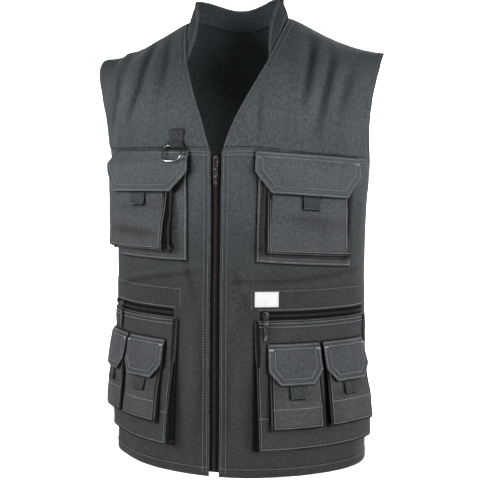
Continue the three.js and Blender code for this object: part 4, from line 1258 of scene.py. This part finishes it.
def build_lower_pocket(side):
    name, sign = side["name"], side["sign"]
    inner, top, bottom = LOWER["inner"], LOWER["top"], LOWER["top"] + LOWER["height"]
    outer_edge = inner + LOWER["width"]

    def face(girth, level):
        across = clamp((girth - inner) / LOWER["width"])
        fall = ease((level - top) / LOWER["height"])
        return PANEL + mix(LOWER["top_depth"], mix(LOWER["inner_depth"], side["lower_outer"], across), fall)

    outer = pocket(f"lower_pocket_{name}", side, (inner, outer_edge), top, bottom,
                   lambda girth, level: SEAT + 0.0012, face, no_drop, 0.006, [f"lower_pocket_box_{name}"],
                   taper=LOWER["taper"], sag=0.0004, seed=side["seed"] + 5,
                   material=LARGE, bends=((0.86, 0.0, 0.05, -0.0006),), over=small_outlines())
    seams = Stitching()
    low = bottom - 0.0035
    seams.run(route_on(sign, outer, [(inner + 0.0035, top + 0.004), (inner + 0.0085, low),
                                     (outer_edge - 0.0035, low), (outer_edge - 0.0035, top + 0.004)]))
    for level in (0.0022, 0.0075):
        seams.run(route_on(sign, outer, [(inner + 0.001, top + level), (outer_edge - 0.001, top + level)]))
    seams.run(route_on(sign, outer, [(inner + 0.004, 0.586), (inner + 0.018, 0.586)]))
    build_lower_zip(side, seams)
    for number, place in enumerate(SMALL_PLACES):
        build_small_pocket(side, outer, seams, side["seed"] + 6 + 2 * number, *place)
    seams.done(f"lower_stitching_{name}")


def build_lower_zip(side, seams):
    """The zip along the top of a lower pocket: flat tape, its teeth and a seam on both sides."""
    name, sign = side["name"], side["sign"]
    top, height = LOWER["zip_top"], LOWER["zip_height"]
    start, end = LOWER["inner"] + 0.007, LOWER["inner"] + LOWER["width"] - 0.002
    girths = spaced(start, end, 0.006, None)
    levels = [top + height * s for s in (0, 0.15, 0.3, 0.42, 0.5, 0.58, 0.7, 0.85, 1)]
    heights = [0.0006, 0.0006, 0.0006, 0.0007, 0.0008, 0.0007, 0.0006, 0.0006, 0.0006]
    laid(f"lower_tape_{name}", len(girths) - 1, len(levels) - 1,
         lambda i, j: cloth_point(sign * girths[i], levels[j], SEAT + heights[j] * 0.6),
         lambda i, j: (levels[j], girths[i]), lambda i, j: 1.0, 0.0006, TAPE,
         [f"lower_pocket_zip_{name}"])
    teeth = bmesh.new()
    tooth = tooth_shape(0.0030, 0.0010, 0.0018)
    middle = top + height / 2
    for k in range(int((end - start - 0.002) / 0.0014)):
        girth = start + 0.001 + k * 0.0014
        _, up, out = body_frame(sign * girth, middle)
        way = 1 if k % 2 else -1
        place = cloth_point(sign * girth, middle, SEAT + 0.0011) + up * way * 0.0007
        set_in(teeth, tooth, up * way, out, place)
    finished(f"lower_teeth_{name}", teeth, TEETH, ())
    for level in (top - 0.0030, top + height + 0.0022):
        seams.run(route_on(sign, panel_face(sign), [(start - 0.004, level), (end, level)]))


def build_small_pocket(side, outer, seams, seed, small, inset, slant, across_line):
    name, sign = side["name"], side["sign"]
    top, box_top, box_low = SMALL["top"], SMALL["box_top"], SMALL["box_low"]
    start, end = LOWER["inner"] + inset, LOWER["inner"] + inset + SMALL["width"]
    tab = start + (SMALL["width"] - SMALL["tab_width"]) / 2
    lid_outline = (start, end, top, top + SMALL["lid"], SMALL["corner"])

    def face(girth, level):
        fall = ease((level - box_top) / (box_low - box_top))
        return outer(girth, level) + SEAM * 2 + mix(0.004, side["small"], fall)

    wall = pocket(f"small_{small}_pocket_{name}", side, (start + SMALL["box_in"], end - SMALL["box_in"]), box_top,
                  box_low, lambda girth, level: outer(girth, level) + 0.0020, face, no_drop, 0.0032,
                  [f"small_{small}_box_{name}"], sag=0.0010, seed=seed,
                  bends=((0.55, slant, 0.06, -0.0008), (0.72, -0.1, 0.05, 0.0007)),
                  over=[lid_outline, tab_outline(tab, SMALL)])
    seams.run(route_on(sign, wall, down_and_up(start + 0.006, end - 0.006, box_top + 0.004, box_low - 0.003)))
    seams.run(route_on(sign, wall, [(start + 0.004, across_line), (end - 0.004, across_line)]))

    def lid_face(girth, level):
        over = wall(girth, level) + 0.0005 + 0.0022 * ease((level - top) / SMALL["lid"])
        fall = ease((level - top) / (box_top - top + 0.003))
        return mix(outer(girth, level) + SEAM * 2, over, fall) + 0.0018

    rows = flap_rows(top, start, SMALL["width"], SMALL["lid"], SMALL["corner"], box_top - top)
    lid = flap(f"small_{small}_lid_{name}", side, rows, lid_face, no_drop, LID_THICK, FLAP_TWILL_LIT,
               [f"small_{small}_flap_{name}"],
               seed=seed + 1, seams=(FIRST_ROW, SMALL["second_row"]))
    stitch_lid(seams, side, lid, rows, no_drop, SMALL)
    build_tab(f"small_{small}_pull_tab_{name}", f"small_{small}_tab_stitching_{name}", side, tab, SMALL,
              lambda girth, level: wall(girth, level) + 0.0017, no_drop, f"small_{small}_tab_{name}",
              seed + 2, lid_outline)


# D-ring's webbing

def build_webbing():
    """The strap that is sewn to the chest and folded round the ring's bar."""
    bar_down, inset, wire, width, thick, rise, play = 0.204, 0.056, 0.003, 0.021, 0.0014, 0.024, 0.00035
    loop = wire / 2 + play + thick
    across, _, out = body_frame(-inset, bar_down)
    upright = out.cross(across).normalized()
    centre = cloth_point(-inset, bar_down, PANEL + 0.0001 + loop) - out * ripple_at(-inset, bar_down)
    line = []
    middle = loop - thick / 2
    for k in range(9):
        share = k / 8
        line.append((mix(rise, 0.001, share), -middle))
    for k in range(1, 13):
        turn = math.pi * k / 12
        line.append((-math.sin(turn) * middle, -math.cos(turn) * middle))
    for k in range(1, 10):
        share = k / 9
        line.append((mix(0.0006, rise - 0.001, share), mix(middle, -middle + thick * 1.15, ease(share * 2.6))))
    columns = spaced(-width / 2, width / 2, 0.0022, (0.0006, 0.0016))
    lengths = [0.0]
    for (y0, z0), (y1, z1) in zip(line, line[1:]):
        lengths.append(lengths[-1] + math.hypot(y1 - y0, z1 - z0))
    bm = bmesh.new()
    bmesh.ops.create_grid(bm, x_segments=len(columns) - 1, y_segments=len(line) - 1, size=0.5)
    uv = bm.loops.layers.uv.new("cut")
    place = {}
    for vert in bm.verts:
        i = round((vert.co.x + 0.5) * (len(columns) - 1))
        j = round((0.5 - vert.co.y) * (len(line) - 1))
        place[vert] = (i, j)
    for face in bm.faces:
        for corner in face.loops:
            i, j = place[corner.vert]
            corner[uv].uv = (columns[i], lengths[j])
    for vert, (i, j) in place.items():
        y, z = line[j]
        vert.co = centre + across * columns[i] + upright * y + out * z
    area = sum(face.calc_area() for face in bm.faces)
    bmesh.ops.recalc_face_normals(bm, faces=bm.faces[:])
    piece = finished("webbing_strap", bm, WEBBING, ["webbing_loop"])
    thicken(piece, thick * 0.9)

    seams = Stitching()

    def on_strap(x, y):
        return centre + across * x + upright * y + out * (-middle + thick * 1.15 + thick * 0.52)

    half, low, high = width / 2 - 0.0025, 0.0095, rise - 0.0035
    square = [(-half, low), (half, low), (half, high), (-half, high), (-half, low)]
    crossing = [[(-half, low), (half, high)], [(half, low), (-half, high)]]
    for path in [square] + crossing:
        seams.run([(on_strap(x, y), out) for x, y in path], pitch=0.0024, length=0.0019, gauge=0.00032)
    seams.done("webbing_stitching", WEBBING_THREAD)


def build_label():
    """The blank woven label, sewn down along its edge."""
    inset, down, width, height = 0.056, 0.408, 0.033, 0.022
    columns = spaced(inset, inset + width, 0.0022, (0.0005, 0.0014))
    levels = spaced(down, down + height, 0.0022, (0.0005, 0.0014))

    def edge(i, j):
        return min(columns[i] - inset, inset + width - columns[i], levels[j] - down, down + height - levels[j])

    def face(girth, level):
        return SEAT + 0.0012

    laid("label_cloth_piece", len(columns) - 1, len(levels) - 1,
         lambda i, j: cloth_point(columns[i], levels[j], face(0, 0) - 0.0004 * (1 - min(edge(i, j) / 0.0014, 1)) ** 2),
         lambda i, j: (columns[i], levels[j]), edge, 0.0007, LABEL, ["label"])
    seams = Stitching()
    path = [(inset + 0.0016, down + 0.0016), (inset + width - 0.0016, down + 0.0016),
            (inset + width - 0.0016, down + height - 0.0016), (inset + 0.0016, down + height - 0.0016),
            (inset + 0.0016, down + 0.0016)]
    seams.run(route_on(1, face, path, step=0.004), pitch=0.0024, length=0.0019, gauge=0.00026)
    seams.done("label_stitching", thread_finish("White thread", (0.62, 0.63, 0.62)))


def dress_fittings():
    """The hard fittings keep their shapes, with rounded edges and worn metal."""
    for name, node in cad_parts.items():
        if name == "d_ring":
            material = NICKEL
            weld = node.modifiers.new("weld", "WELD")
            weld.merge_threshold = 1e-5
        elif "slider" in name or "pull" in name:
            material = ENAMEL
            weld = node.modifiers.new("weld", "WELD")
            weld.merge_threshold = 1e-5
            bevel = node.modifiers.new("bevel", "BEVEL")
            bevel.width, bevel.segments, bevel.limit_method = 0.00028, 2, "ANGLE"
        else:
            continue
        node.data.materials.clear()
        node.data.materials.append(material)
        for face in node.data.polygons:
            face.use_smooth = name == "d_ring"


# Studio

def build_studio():
    bm = bmesh.new()
    bmesh.ops.create_grid(bm, x_segments=1, y_segments=1, size=9.0)
    rear = [edge for edge in bm.edges if all(vert.co.y > 8 for vert in edge.verts)]
    raised = bmesh.ops.extrude_edge_only(bm, edges=rear)
    bmesh.ops.translate(bm, vec=(0, 0, 9.0), verts=[g for g in raised["geom"] if isinstance(g, bmesh.types.BMVert)])
    corner = [edge for edge in bm.edges if all(vert.co.y > 8 and abs(vert.co.z) < 0.01 for vert in edge.verts)]
    bmesh.ops.bevel(bm, geom=corner, offset=3.0, offset_type="OFFSET", segments=14, profile=0.5, affect="EDGES",
                    material=-1)
    bmesh.ops.translate(bm, vec=(0, 0, -1.35), verts=bm.verts[:])
    for face in bm.faces:
        face.smooth = True
    mesh = bpy.data.meshes.new("floor")
    bm.to_mesh(mesh)
    bm.free()
    mesh.materials.append(floor_finish("Pale floor"))
    floor = bpy.data.objects.new("floor", mesh)
    bpy.context.scene.collection.objects.link(floor)

    def softbox(name, place, target, size, power):
        light = bpy.data.lights.new(name, "AREA")
        light.shape, light.size, light.size_y, light.energy = "RECTANGLE", size[0], size[1], power
        lamp = bpy.data.objects.new(name, light)
        lamp.location = place
        lamp.rotation_euler = (Vector(target) - Vector(place)).to_track_quat("-Z", "Y").to_euler()
        bpy.context.scene.collection.objects.link(lamp)

    softbox("key", (-1.05, -0.95, -0.16), (0, 0, -0.26), (0.6, 0.6), 17.5)
    softbox("fill", (1.28, -1.08, -0.18), (0, 0, -0.30), (0.8, 0.8), 26.5)
    softbox("backdrop", (0.0, 3.4, 2.2), (0, 9, 0.6), (6.0, 3.0), 1500.0)
    softbox("floor", (0.0, 3.5, 3.2), (0, 4.2, -1.35), (6.0, 3.0), 420.0)
    world = bpy.data.worlds.new("studio")
    world.use_nodes = True
    world.node_tree.nodes["Background"].inputs["Color"].default_value = (1, 1, 1, 1)
    world.node_tree.nodes["Background"].inputs["Strength"].default_value = 0.16
    bpy.context.scene.world = world

    camera = bpy.data.cameras.new("camera")
    camera.lens, camera.sensor_width, camera.sensor_fit = 72.0, 36.0, "HORIZONTAL"
    eye = bpy.data.objects.new("camera", camera)
    target = Vector((0.001, 0.0, -0.345))
    azimuth, elevation, distance = math.radians(14.8), math.radians(4.5), 1.5
    eye.location = target + distance * Vector((
        math.sin(azimuth) * math.cos(elevation), -math.cos(azimuth) * math.cos(elevation), math.sin(elevation)))
    eye.rotation_euler = (target - eye.location).to_track_quat("-Z", "Y").to_euler()
    bpy.context.scene.collection.objects.link(eye)
    bpy.context.scene.camera = eye
    bpy.context.scene.view_settings.view_transform = "Standard"


build_studio()
build_front_panels()
build_back_panel()
build_collar()
build_front_zip()
for vest_side in SIDES:
    build_chest_pocket(vest_side)
for vest_side in SIDES:
    build_lower_pocket(vest_side)
build_webbing()
build_label()
dress_fittings()
